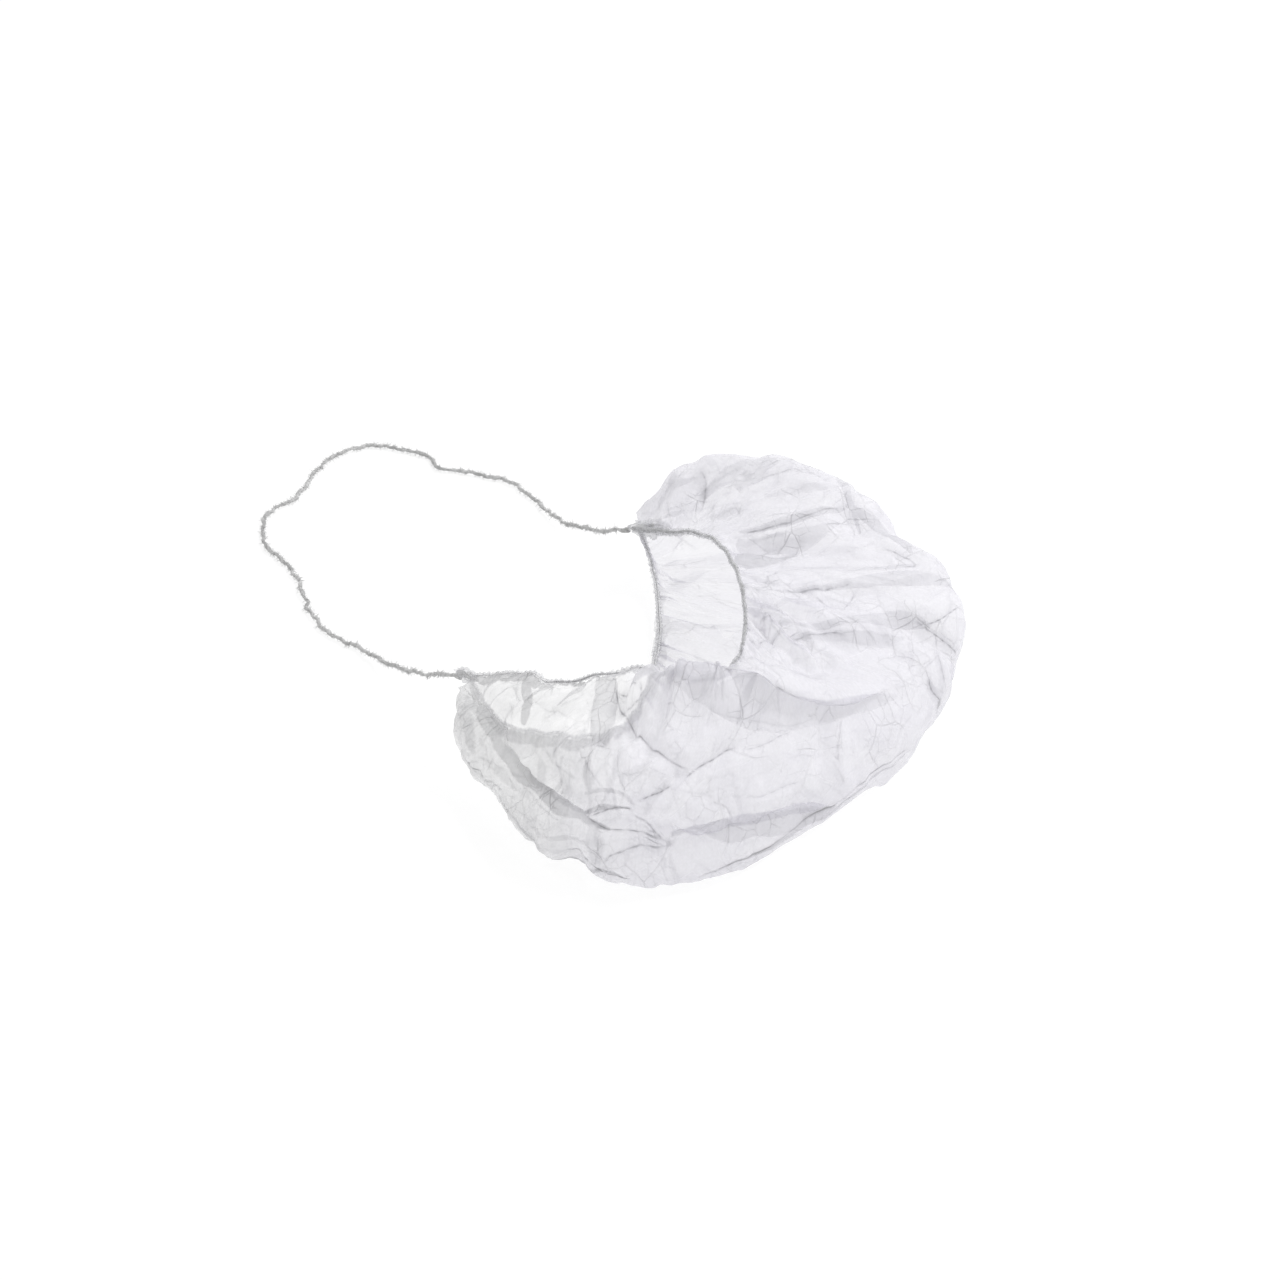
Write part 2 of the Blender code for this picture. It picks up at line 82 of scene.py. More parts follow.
class EdgeRow(NamedTuple):
    """A section's outer edge, as shares of the pouch's width, reach, puffed height and joins' height."""

    join_pull: float
    across: float
    forward: float
    height: float
    crown: float
    belly: float


class FoldRow(NamedTuple):
    """A broad fold through three points, each a section number and a level, by half width and depth."""

    name: str
    points: tuple
    width: float
    depth: float


class PleatRow(NamedTuple):
    """A pleat where the fabric doubles back over itself along a line, by its overlap and its height."""

    name: str
    points: tuple
    overlap: float
    height: float


class BandRow(NamedTuple):
    """A strip where layers of the fabric lie on each other, by how much denser it looks.

    Its points are a section number, a level and the strip's width there. Its density also darkens the fabric's colour
    as painted shade.
    """

    name: str
    points: tuple
    density: float


class CreaseRow(NamedTuple):
    """A sharp crease along a line, by how much denser the fabric looks there, which also darkens its colour as painted
    shade, and how far it stands out.
    """

    name: str
    points: tuple
    density: float
    height: float


class ScrapZone(NamedTuple):
    """A part of the fabric with many short doubled strips, by its sections and levels.

    Their half lengths are in levels, and their slope is how far they run along the sections.
    """

    name: str
    numbers: tuple
    levels: tuple
    halves: tuple
    slope: float
    count: int
    densities: tuple
    breadth: float = 1.0


MOUTH_ROWS = (
    RimRow(-1.00, 0.00, 0.00),
    RimRow(-0.93, 0.13, 0.17),
    RimRow(-0.89, 0.26, 0.35),
    RimRow(-0.91, 0.38, 0.43),
    RimRow(-0.78, 0.53, 0.63),
    RimRow(-0.62, 0.68, 0.80),
    RimRow(-0.60, 0.85, 0.93),
    RimRow(-0.51, 0.99, 1.00),
    RimRow(-0.25, 0.99, 1.00),
    RimRow(0.02, 0.92, 1.00),
    RimRow(0.27, 0.82, 0.96),
    RimRow(0.50, 0.71, 0.89),
    RimRow(0.70, 0.59, 0.78),
    RimRow(0.88, 0.46, 0.63),
    RimRow(1.00, 0.31, 0.42),
    RimRow(1.02, 0.14, 0.15),
    RimRow(1.00, 0.00, 0.00),
)

THROAT_ROWS = (
    RimRow(-1.00, 0.00, 0.00),
    RimRow(-1.02, 0.17, 0.35),
    RimRow(-0.97, 0.34, 0.69),
    RimRow(-0.86, 0.49, 0.83),
    RimRow(-0.74, 0.67, 0.92),
    RimRow(-0.61, 0.87, 0.98),
    RimRow(-0.43, 0.99, 1.00),
    RimRow(-0.22, 1.00, 1.00),
    RimRow(0.00, 0.92, 1.00),
    RimRow(0.20, 0.82, 1.00),
    RimRow(0.40, 0.70, 1.00),
    RimRow(0.58, 0.58, 0.98),
    RimRow(0.75, 0.43, 0.94),
    RimRow(0.91, 0.28, 0.85),
    RimRow(1.04, 0.12, 0.71),
    RimRow(1.09, 0.00, 0.38),
    RimRow(1.00, 0.00, 0.00),
)

EDGE_ROWS = (
    EdgeRow(1.0, -0.043, -0.011, -0.04, 0.00, 0.89),
    EdgeRow(0.6, -0.376, 0.029, 0.08, 0.00, 0.33),
    EdgeRow(0.3, -0.635, 0.081, 0.11, 0.02, 0.04),
    EdgeRow(0.1, -0.786, 0.169, 0.15, 0.04, 0.00),
    EdgeRow(0.0, -0.925, 0.287, 0.18, 0.06, 0.00),
    EdgeRow(0.0, -1.000, 0.426, 0.16, 0.10, 0.00),
    EdgeRow(0.0, -0.973, 0.581, 0.14, 0.16, 0.00),
    EdgeRow(0.0, -0.856, 0.732, 0.14, 0.20, 0.00),
    EdgeRow(0.0, -0.594, 0.857, 0.14, 0.16, 0.00),
    EdgeRow(0.0, -0.187, 0.938, 0.16, 0.02, 0.00),
    EdgeRow(0.0, 0.176, 1.000, 0.26, -0.10, 0.00),
    EdgeRow(0.0, 0.519, 0.978, 0.42, -0.10, 0.00),
    EdgeRow(0.0, 0.840, 0.846, 0.54, 0.08, 0.00),
    EdgeRow(0.0, 0.957, 0.618, 0.56, 0.24, 0.00),
    EdgeRow(0.0, 1.000, 0.353, 0.56, 0.36, 0.00),
    EdgeRow(0.2, 0.744, 0.037, 0.47, 0.28, 0.11),
    EdgeRow(1.0, 0.059, -0.055, -0.04, 0.00, 0.81),
)

FOLD_ROWS = (
    FoldRow("long pleat, rear", ((1.2, 0.23), (3.2, 0.29), (5.5, 0.38)), 0.0042, 0.0071),
    FoldRow("long pleat, front", ((5.0, 0.37), (6.9, 0.37), (8.6, 0.36)), 0.0046, 0.0061),
    FoldRow("near bulge over the rim", ((5.6, 0.07), (7.1, 0.07), (8.6, 0.12)), 0.0086, -0.0108),
    FoldRow("near ridge", ((8.0, 0.10), (9.0, 0.19), (10.5, 0.32)), 0.0059, -0.0044),
    FoldRow("near ridge foot", ((8.9, 0.08), (9.7, 0.17), (11.0, 0.29)), 0.0066, 0.0050),
    FoldRow("left lobe valley", ((12.9, 0.03), (12.3, 0.16), (12.2, 0.30)), 0.0079, 0.0076),
    FoldRow("left lobe crease", ((13.4, 0.33), (13.0, 0.25), (12.2, 0.28)), 0.0055, 0.0040),
    FoldRow("left lobe rear crease", ((15.0, 0.26), (14.8, 0.17), (14.5, 0.10)), 0.0051, 0.0032),
    FoldRow("upper front gather", ((10.6, 0.03), (11.4, 0.20), (12.0, 0.40)), 0.0048, 0.0042),
    FoldRow("middle front gather", ((9.2, 0.03), (10.3, 0.17), (11.1, 0.32)), 0.0048, 0.0042),
    FoldRow("tip crease", ((11.2, 0.24), (11.2, 0.32), (11.1, 0.42)), 0.0044, 0.0040),
    FoldRow("tip fold", ((10.9, 0.26), (10.6, 0.33), (10.3, 0.42)), 0.0044, 0.0036),
    FoldRow("near slanting crease", ((4.9, 0.09), (5.8, 0.17), (7.0, 0.24)), 0.0040, 0.0038),
    FoldRow("near return crease", ((7.1, 0.25), (7.5, 0.22), (8.0, 0.20)), 0.0037, 0.0032),
    FoldRow("near upper pleat", ((5.5, 0.35), (6.2, 0.32), (7.0, 0.26)), 0.0040, 0.0036),
    FoldRow("near lobe tuck", ((6.0, 0.47), (6.3, 0.42), (7.0, 0.38)), 0.0040, 0.0036),
    FoldRow("front cross crease", ((9.1, 0.25), (8.9, 0.30), (8.7, 0.37)), 0.0040, 0.0032),
    FoldRow("edge notch", ((5.5, 0.46), (5.5, 0.53), (5.55, 0.60)), 0.0055, 0.0071),
    FoldRow("left edge notch", ((12.9, 0.24), (12.8, 0.34), (12.7, 0.46)), 0.0084, 0.0055),
    FoldRow("near bulge's lip", ((5.9, 0.030), (6.8, 0.035), (7.7, 0.030)), 0.0048, -0.0046),
    FoldRow("front edge, drawn in", ((9.4, 0.42), (10.6, 0.43), (11.8, 0.42)), 0.0120, 0.0026),
)

PLEAT_ROWS = (
    PleatRow("long pleat", ((1.18, 0.26), (2.14, 0.28), (2.86, 0.31), (3.51, 0.35),
        (4.51, 0.39), (5.30, 0.40), (6.12, 0.40)), 0.0040, 0.0010),
    PleatRow("long pleat's front", ((7.02, 0.38), (7.73, 0.37), (8.37, 0.38), (8.88, 0.41)), 0.0054, 0.0008),
    PleatRow("near ridge", ((7.50, 0.07), (7.95, 0.10), (8.42, 0.15), (8.80, 0.19),
        (9.33, 0.24), (10.12, 0.30)), 0.0048, 0.0010),
)

BAND_ROWS = (
    BandRow("far shoulder", ((14.68, 0.10, 0.0028), (14.75, 0.15, 0.0031), (14.65, 0.18, 0.0040),
        (14.50, 0.21, 0.0081), (14.32, 0.23, 0.0100), (14.18, 0.26, 0.0036)), 0.28),
    BandRow("far fold, upper", ((13.25, 0.05, 0.0010), (13.14, 0.11, 0.0024), (13.11, 0.17, 0.0040),
        (13.11, 0.22, 0.0024), (13.14, 0.26, 0.0011)), 0.45),
    BandRow("far fold, middle", ((13.00, 0.04, 0.0041), (12.85, 0.09, 0.0052), (12.78, 0.14, 0.0069),
        (12.80, 0.18, 0.0045), (12.96, 0.23, 0.0010)), 0.36),
    BandRow("far fold, lower", ((12.04, 0.02, 0.0072), (12.12, 0.05, 0.0068), (12.39, 0.09, 0.0060),
        (12.68, 0.13, 0.0007)), 0.50),
    BandRow("far ridge", ((13.71, 0.32, 0.0013), (13.58, 0.31, 0.0034), (13.34, 0.29, 0.0035),
        (13.16, 0.28, 0.0024), (12.96, 0.27, 0.0018), (12.78, 0.26, 0.0008)), 0.45),
    BandRow("far back band", ((13.18, 0.27, 0.0013), (13.03, 0.29, 0.0036), (12.82, 0.31, 0.0072),
        (12.52, 0.32, 0.0060), (12.32, 0.32, 0.0012)), 0.50),
    BandRow("far middle band", ((13.79, 0.16, 0.0014), (13.64, 0.20, 0.0030), (13.50, 0.24, 0.0031),
        (13.43, 0.28, 0.0013)), 0.26),
    BandRow("far root", ((14.43, 0.07, 0.0036), (14.07, 0.08, 0.0054), (13.64, 0.10, 0.0052),
        (13.39, 0.12, 0.0010)), 0.15),
    BandRow("front band, upper", ((10.67, 0.02, 0.0006), (11.14, 0.08, 0.0011), (11.46, 0.15, 0.0021),
        (11.67, 0.21, 0.0047), (11.82, 0.27, 0.0062), (11.92, 0.34, 0.0043), (11.99, 0.40, 0.0018)), 0.42),
    BandRow("front band, thin", ((11.89, 0.17, 0.0012), (12.00, 0.23, 0.0024), (12.05, 0.28, 0.0024),
        (12.10, 0.32, 0.0007)), 0.36),
    BandRow("front band, short", ((9.90, 0.02, 0.0006), (10.53, 0.06, 0.0014), (10.84, 0.09, 0.0022),
        (11.24, 0.12, 0.0005)), 0.30),
    BandRow("front band, middle", ((9.56, 0.03, 0.0007), (10.06, 0.08, 0.0016), (10.50, 0.15, 0.0023),
        (10.88, 0.20, 0.0028), (11.20, 0.26, 0.0058), (11.30, 0.30, 0.0045), (11.31, 0.33, 0.0007)), 0.42),
    BandRow("front band, lower", ((9.16, 0.05, 0.0007), (9.63, 0.07, 0.0015), (10.12, 0.12, 0.0023),
        (10.46, 0.17, 0.0026), (10.72, 0.22, 0.0038), (10.94, 0.26, 0.0036), (11.10, 0.29, 0.0008)), 0.32),
    BandRow("tip fold", ((10.67, 0.35, 0.0010), (10.60, 0.37, 0.0032), (10.56, 0.40, 0.0037),
        (10.62, 0.45, 0.0022)), 0.32),
    BandRow("tip strip", ((11.24, 0.35, 0.0011), (11.00, 0.35, 0.0027), (10.80, 0.37, 0.0030),
        (10.63, 0.39, 0.0026)), 0.26),
    BandRow("tip strip, inner", ((11.14, 0.30, 0.0012), (10.84, 0.31, 0.0016), (10.54, 0.32, 0.0020),
        (10.38, 0.33, 0.0006)), 0.26),
    BandRow("near overlap", ((6.76, 0.09, 0.0025), (7.30, 0.11, 0.0060), (7.84, 0.14, 0.0106), (8.30, 0.17, 0.0124),
        (8.72, 0.21, 0.0098), (9.30, 0.26, 0.0062), (9.70, 0.29, 0.0048), (10.10, 0.31, 0.0014)), 0.30),
    BandRow("near bulge, rim", ((5.69, 0.04, 0.0024), (6.10, 0.06, 0.0042), (6.70, 0.08, 0.0042),
        (7.09, 0.08, 0.0042), (7.56, 0.06, 0.0039), (7.77, 0.01, 0.0020)), 0.24),
    BandRow("near slope", ((8.20, 0.01, 0.0010), (8.52, 0.07, 0.0028), (8.78, 0.11, 0.0034),
        (9.20, 0.15, 0.0034), (9.70, 0.19, 0.0012)), 0.32),
    BandRow("near slope, lower", ((7.94, 0.07, 0.0007), (8.20, 0.09, 0.0022), (8.36, 0.11, 0.0024),
        (8.44, 0.14, 0.0008)), 0.34),
    BandRow("bottom band", ((7.05, 0.39, 0.0011), (7.37, 0.38, 0.0041), (7.73, 0.40, 0.0053),
        (8.05, 0.40, 0.0062), (8.38, 0.42, 0.0064), (8.63, 0.43, 0.0036), (8.88, 0.42, 0.0014)), 0.45),
    BandRow("long pleat", ((0.78, 0.29, 0.0010), (2.03, 0.33, 0.0030), (2.68, 0.36, 0.0036), (3.43, 0.39, 0.0034),
        (4.08, 0.41, 0.0050), (4.51, 0.41, 0.0054), (4.94, 0.42, 0.0054), (5.22, 0.43, 0.0046),
        (5.51, 0.42, 0.0040), (5.83, 0.41, 0.0032), (6.08, 0.41, 0.0013)), 0.54),
    BandRow("long pleat, corner", ((0.82, 0.31, 0.0012), (1.70, 0.37, 0.0038), (2.18, 0.42, 0.0039),
        (2.54, 0.47, 0.0012)), 0.30),
    BandRow("fork, upper", ((5.51, 0.35, 0.0010), (5.80, 0.33, 0.0016), (6.12, 0.32, 0.0017),
        (6.41, 0.33, 0.0009)), 0.38),
    BandRow("fork, middle", ((5.56, 0.39, 0.0012), (5.83, 0.37, 0.0022), (6.08, 0.36, 0.0017),
        (6.37, 0.34, 0.0008)), 0.50),
    BandRow("rib between windows", ((2.03, 0.02, 0.0024), (2.60, 0.08, 0.0034), (3.11, 0.13, 0.0036),
        (3.40, 0.19, 0.0028), (3.50, 0.23, 0.0017)), 0.56),
    BandRow("broad rib", ((4.33, 0.01, 0.0067), (4.81, 0.10, 0.0077), (5.08, 0.16, 0.0075),
        (5.37, 0.21, 0.0087)), 0.46),
    BandRow("near hem", ((0.55, 0.00, 0.0066), (1.20, 0.00, 0.0080), (1.90, 0.00, 0.0072),
        (2.45, 0.00, 0.0064), (2.95, 0.00, 0.0030), (3.60, 0.00, 0.0026),
        (4.20, 0.00, 0.0048), (4.70, 0.00, 0.0072), (5.30, 0.00, 0.0040)), 0.56),
    BandRow("throat hem, near", ((0.55, 1.00, 0.0060), (1.20, 1.00, 0.0078), (2.20, 1.00, 0.0072), (3.30, 1.00, 0.0084),
        (4.40, 1.00, 0.0078), (5.40, 1.00, 0.0066), (6.40, 1.00, 0.0044), (7.20, 1.00, 0.0030)), 0.62),
    BandRow("throat hem, far", ((7.60, 1.00, 0.0036), (8.40, 1.00, 0.0058), (9.10, 1.00, 0.0030),
        (9.90, 1.00, 0.0066), (10.70, 1.00, 0.0034), (11.50, 1.00, 0.0054),
        (12.30, 1.00, 0.0028), (13.20, 1.00, 0.0052), (14.40, 1.00, 0.0030)), 0.30),
    BandRow("strip fold, upper", ((13.20, 0.98, 0.0020), (13.70, 0.94, 0.0044), (14.10, 0.88, 0.0036),
        (14.30, 0.82, 0.0010)), 0.20),
    BandRow("strip fold, middle", ((11.30, 0.99, 0.0024), (11.70, 0.95, 0.0050), (11.95, 0.90, 0.0036),
        (12.10, 0.85, 0.0010)), 0.22),
    BandRow("inner dark strip", ((5.43, 0.26, 0.0012), (5.47, 0.29, 0.0031), (5.55, 0.32, 0.0029),
        (5.59, 0.34, 0.0013)), 0.34),
    BandRow("left strip", ((3.61, 0.54, 0.0012), (4.18, 0.54, 0.0037), (4.63, 0.55, 0.0037),
        (5.00, 0.56, 0.0019)), 0.34),
    BandRow("left strip, inner", ((4.11, 0.49, 0.0012), (4.54, 0.50, 0.0030), (4.86, 0.51, 0.0023),
        (5.04, 0.51, 0.0009)), 0.24),
    BandRow("left streak", ((2.72, 0.48, 0.0008), (3.29, 0.45, 0.0026), (3.75, 0.45, 0.0034),
        (4.18, 0.45, 0.0007)), 0.30),
    BandRow("lobe foot band", ((5.06, 0.51, 0.0009), (5.28, 0.50, 0.0026), (5.58, 0.48, 0.0019),
        (5.83, 0.45, 0.0008)), 0.36),
    BandRow("lobe block", ((5.87, 0.43, 0.0046), (5.90, 0.46, 0.0062), (5.94, 0.49, 0.0041)), 0.26),
    BandRow("lobe outline", ((5.04, 0.58, 0.0006), (5.30, 0.59, 0.0014), (5.65, 0.58, 0.0016),
        (5.94, 0.52, 0.0014), (6.19, 0.50, 0.0010), (6.48, 0.50, 0.0005)), 0.70),
    BandRow("lower front edge", ((7.37, 0.47, 0.0005), (7.84, 0.45, 0.0008), (8.30, 0.45, 0.0014),
        (8.70, 0.44, 0.0016), (9.20, 0.42, 0.0014), (9.67, 0.41, 0.0008), (10.00, 0.42, 0.0004)), 0.55),
)

# Broad patches of denser fabric; their density also darkens the colour there as painted shade.
PATCH_ROWS = (
    BandRow("near bulge", ((5.76, 0.04, 0.004), (6.50, 0.06, 0.011), (7.20, 0.06, 0.011), (7.72, 0.05, 0.005)), 0.18),
    BandRow("left lobe", ((2.54, 0.52, 0.012), (3.42, 0.52, 0.022), (4.51, 0.50, 0.024),
        (5.26, 0.51, 0.020), (5.83, 0.48, 0.013)), 0.12),
    BandRow("left wall", ((4.44, 0.29, 0.005), (4.98, 0.31, 0.014), (5.40, 0.33, 0.012), (5.83, 0.35, 0.005)), 0.20),
    BandRow("far tip", ((15.68, 0.20, 0.008), (15.20, 0.14, 0.013), (14.93, 0.17, 0.012), (14.86, 0.21, 0.005)), 0.22),
    BandRow("far top", ((14.22, 0.19, 0.007), (14.00, 0.25, 0.011), (13.70, 0.27, 0.011), (13.54, 0.29, 0.005)), 0.12),
    BandRow("far rim side", ((12.32, 0.02, 0.014), (12.30, 0.05, 0.015), (12.60, 0.10, 0.010),
        (12.75, 0.14, 0.003)), 0.16),
    BandRow("front tip", ((11.21, 0.33, 0.006), (11.12, 0.37, 0.015), (10.84, 0.39, 0.011),
        (10.63, 0.42, 0.005)), 0.12),
    BandRow("near corner", ((0.82, 0.36, 0.003), (1.78, 0.42, 0.008), (2.21, 0.49, 0.008), (2.61, 0.53, 0.002)), 0.20),
    BandRow("near windows", ((1.10, 0.08, 0.010), (2.60, 0.12, 0.014), (4.00, 0.14, 0.014), (5.30, 0.12, 0.010)), 0.14),
)

CREASE_ROWS = (
    CreaseRow("near slanting", ((4.81, 0.07), (5.22, 0.12), (5.59, 0.15), (5.86, 0.17),
        (6.26, 0.19), (6.77, 0.22), (7.26, 0.24)), 1.0, -0.0008),
    CreaseRow("near return", ((7.08, 0.26), (7.33, 0.23), (7.53, 0.22), (7.71, 0.21), (7.86, 0.21)), 1.0, -0.0006),
    CreaseRow("near return's end", ((7.91, 0.22), (8.13, 0.22), (8.38, 0.22), (8.59, 0.23)), 0.6, -0.0004),
    CreaseRow("vertical", ((9.27, 0.27), (9.09, 0.29), (8.99, 0.32), (8.88, 0.37)), 0.6, -0.0004),
    CreaseRow("overlap edge", ((7.66, 0.10), (7.95, 0.11), (8.27, 0.12), (8.45, 0.14),
        (8.66, 0.17), (8.95, 0.20), (9.38, 0.24), (9.67, 0.26)), 0.9, -0.0007),
    CreaseRow("overlap foot", ((6.98, 0.11), (7.66, 0.15), (8.13, 0.18), (8.56, 0.22), (8.88, 0.24)), 0.3, -0.0003),
    CreaseRow("fork, upper", ((6.45, 0.32), (6.65, 0.30), (6.78, 0.29), (6.94, 0.27)), 1.0, -0.0005),
    CreaseRow("fork, lower", ((6.37, 0.35), (6.55, 0.37), (6.76, 0.39), (6.94, 0.40)), 1.0, -0.0005),
    CreaseRow("fork's stem", ((5.69, 0.41), (5.90, 0.41), (6.12, 0.41),
        (6.41, 0.40), (6.73, 0.40), (7.12, 0.40)), 1.0, -0.0006),
    CreaseRow("fork's side", ((5.72, 0.39), (5.98, 0.37), (6.23, 0.35), (6.44, 0.34)), 1.0, -0.0005),
    CreaseRow("lobe corner", ((6.08, 0.49), (6.14, 0.47), (6.28, 0.45),
        (6.55, 0.42), (6.87, 0.41), (7.12, 0.40)), 0.9, -0.0006),
    CreaseRow("lobe foot", ((5.22, 0.57), (5.51, 0.54), (5.80, 0.51),
        (6.08, 0.51), (6.33, 0.50), (6.48, 0.50)), 1.0, -0.0006),
    CreaseRow("slope crease", ((7.86, 0.30), (8.12, 0.31), (8.35, 0.31), (8.59, 0.32)), 0.5, -0.0005),
    CreaseRow("slope hook", ((7.49, 0.30), (7.65, 0.31), (7.75, 0.33)), 0.6, -0.0004),
    CreaseRow("slope side", ((7.98, 0.31), (8.10, 0.35), (8.16, 0.40)), 0.3, -0.0003),
    CreaseRow("left outline", ((2.11, 0.55), (2.64, 0.54), (2.97, 0.54), (3.29, 0.53), (3.75, 0.49)), 0.9, -0.0005),
    CreaseRow("left outline, low", ((3.69, 0.56), (4.24, 0.55), (4.65, 0.55)), 0.4, -0.0004),
    CreaseRow("hook", ((11.53, 0.20), (11.36, 0.19), (10.99, 0.17), (11.16, 0.15), (11.24, 0.12)), 0.8, -0.0005),
    CreaseRow("bight", ((12.39, 0.27), (12.30, 0.29), (12.17, 0.31), (12.07, 0.31), (12.05, 0.29)), 0.8, -0.0005),
    CreaseRow("far crease", ((14.14, 0.20), (14.00, 0.23), (13.90, 0.26), (13.68, 0.27), (13.50, 0.28)), 0.6, -0.0005),
    CreaseRow("far top crease", ((14.11, 0.31), (13.89, 0.28), (13.68, 0.27), (13.57, 0.28)), 0.5, -0.0004),
    CreaseRow("far fold's foot", ((13.21, 0.05), (13.14, 0.09), (13.08, 0.14),
        (13.11, 0.21), (13.18, 0.27)), 0.6, -0.0005),
    CreaseRow("far fold's edge", ((12.36, 0.06), (12.52, 0.10), (12.48, 0.13),
        (12.35, 0.16), (12.17, 0.17)), 0.2, -0.0002),
    CreaseRow("fan, upper", ((11.31, 0.30), (11.28, 0.34), (11.25, 0.37), (11.24, 0.42)), 0.9, -0.0006),
    CreaseRow("fan, tip", ((11.67, 0.38), (11.53, 0.36), (11.39, 0.34), (11.31, 0.32)), 1.0, -0.0006),
    CreaseRow("tip inner", ((10.67, 0.35), (10.58, 0.38), (10.60, 0.44)), 0.8, -0.0005),
    CreaseRow("tip outer", ((11.06, 0.35), (10.83, 0.37), (10.67, 0.41)), 0.5, -0.0004),
    CreaseRow("band edge, upper", ((11.10, 0.07), (11.31, 0.12), (11.47, 0.16), (11.60, 0.19)), 0.7, -0.0005),
    CreaseRow("band edge, lower", ((9.67, 0.08), (10.11, 0.12), (10.45, 0.16), (10.56, 0.19)), 0.6, -0.0004),
    CreaseRow("rim gather, one", ((11.28, 0.02), (11.20, 0.04), (11.49, 0.05), (11.71, 0.07)), 0.7, -0.0005),
    CreaseRow("rim gather, two", ((10.63, 0.01), (11.00, 0.04), (11.24, 0.05), (11.35, 0.07)), 0.7, -0.0005),
    CreaseRow("rim gather, three", ((8.81, 0.01), (9.20, 0.05), (9.63, 0.07)), 0.5, -0.0004),
    CreaseRow("rim gather, four", ((13.25, 0.05), (13.03, 0.06), (12.90, 0.07), (12.78, 0.08)), 0.3, -0.0003),
    CreaseRow("rear shoulder", ((14.90, 0.24), (14.79, 0.20), (14.75, 0.16), (14.68, 0.11)), 0.6, -0.0005),
    CreaseRow("near window", ((2.02, 0.10), (2.47, 0.12), (2.86, 0.14)), 0.5, -0.0003),
    CreaseRow("near window, low", ((2.57, 0.16), (3.00, 0.20), (3.18, 0.23)), 0.5, -0.0003),
    CreaseRow("middle window", ((4.22, 0.22), (4.14, 0.17), (4.32, 0.13), (4.35, 0.10)), 0.3, -0.0003),
    CreaseRow("leaf, upper", ((5.01, 0.09), (5.40, 0.10), (5.68, 0.09)), 0.8, -0.0004),
    CreaseRow("leaf, right", ((5.68, 0.08), (5.76, 0.11), (5.66, 0.13), (5.47, 0.14)), 0.7, -0.0004),
    CreaseRow("inner lobe", ((4.29, 0.29), (4.69, 0.32), (5.08, 0.33), (5.40, 0.33)), 0.4, -0.0004),
    CreaseRow("lower front edge", ((7.27, 0.48), (7.62, 0.46), (7.90, 0.45), (8.45, 0.44),
        (9.02, 0.41), (9.65, 0.40), (9.92, 0.41)), 1.0, -0.0004),
    CreaseRow("small gather", ((12.30, 0.21), (12.21, 0.22), (12.21, 0.24), (12.14, 0.25)), 0.3, -0.0003),
    CreaseRow("strip crease", ((13.45, 1.00), (13.96, 0.95), (14.31, 0.86), (14.43, 0.80)), 0.3, -0.0003),
    CreaseRow("strip crease, low", ((12.00, 0.99), (12.33, 0.95), (12.35, 0.91), (12.41, 0.87)), 0.2, -0.0003),
    CreaseRow("strip crease, foot", ((10.78, 1.00), (11.16, 0.98), (11.14, 0.95)), 0.3, -0.0003),
)

SCRAP_ZONES = (
    ScrapZone("all over", (4.8, 15.2), (0.05, 0.60), (0.020, 0.070), 0.5, 100, (0.08, 0.26)),
    ScrapZone("left lobe", (2.3, 5.9), (0.42, 0.61), (0.006, 0.016), 6.0, 44, (0.10, 0.32), 0.6),
    ScrapZone("near wall", (4.4, 6.4), (0.22, 0.40), (0.012, 0.035), 1.0, 24, (0.12, 0.34)),
    ScrapZone("beside the front rim", (8.6, 15.0), (0.01, 0.09), (0.015, 0.045), 0.3, 60, (0.10, 0.28), 0.7),
    ScrapZone("near windows", (0.9, 4.6), (0.03, 0.22), (0.006, 0.018), 1.0, 10, (0.08, 0.18), 0.4),
    ScrapZone("far tip", (14.2, 15.5), (0.04, 0.24), (0.010, 0.030), 1.0, 26, (0.12, 0.34)),
)

# How full of fabric each hem is, and how thick its elastic, by section number.
MOUTH_FULLNESS = (
    (0, 0.6), (2.7, 0.8), (3.4, 0.3), (4.2, 0.3), (4.6, 0.9),
    (5.3, 0.3), (7.6, 0.2), (13.0, 0.3), (14.3, 1.2), (16, 1.6),
)
MOUTH_TAUT = (
    (0, 0.2), (2.5, 0.2), (3.0, 0.7), (4.2, 0.7), (4.6, 0.3), (5.2, 0.4),
    (7.4, 0.4), (8.0, 0.85), (14.0, 0.95), (15.0, 1.2), (16, 1.4),
)
THROAT_FULLNESS = ((0, 0.3), (6.8, 0.3), (7.4, 0.5), (10.0, 0.9), (14.0, 0.6), (16, 0.4))
THROAT_TAUT = ((0, 0.3), (6.2, 0.3), (7.2, 0.85), (16, 0.95))

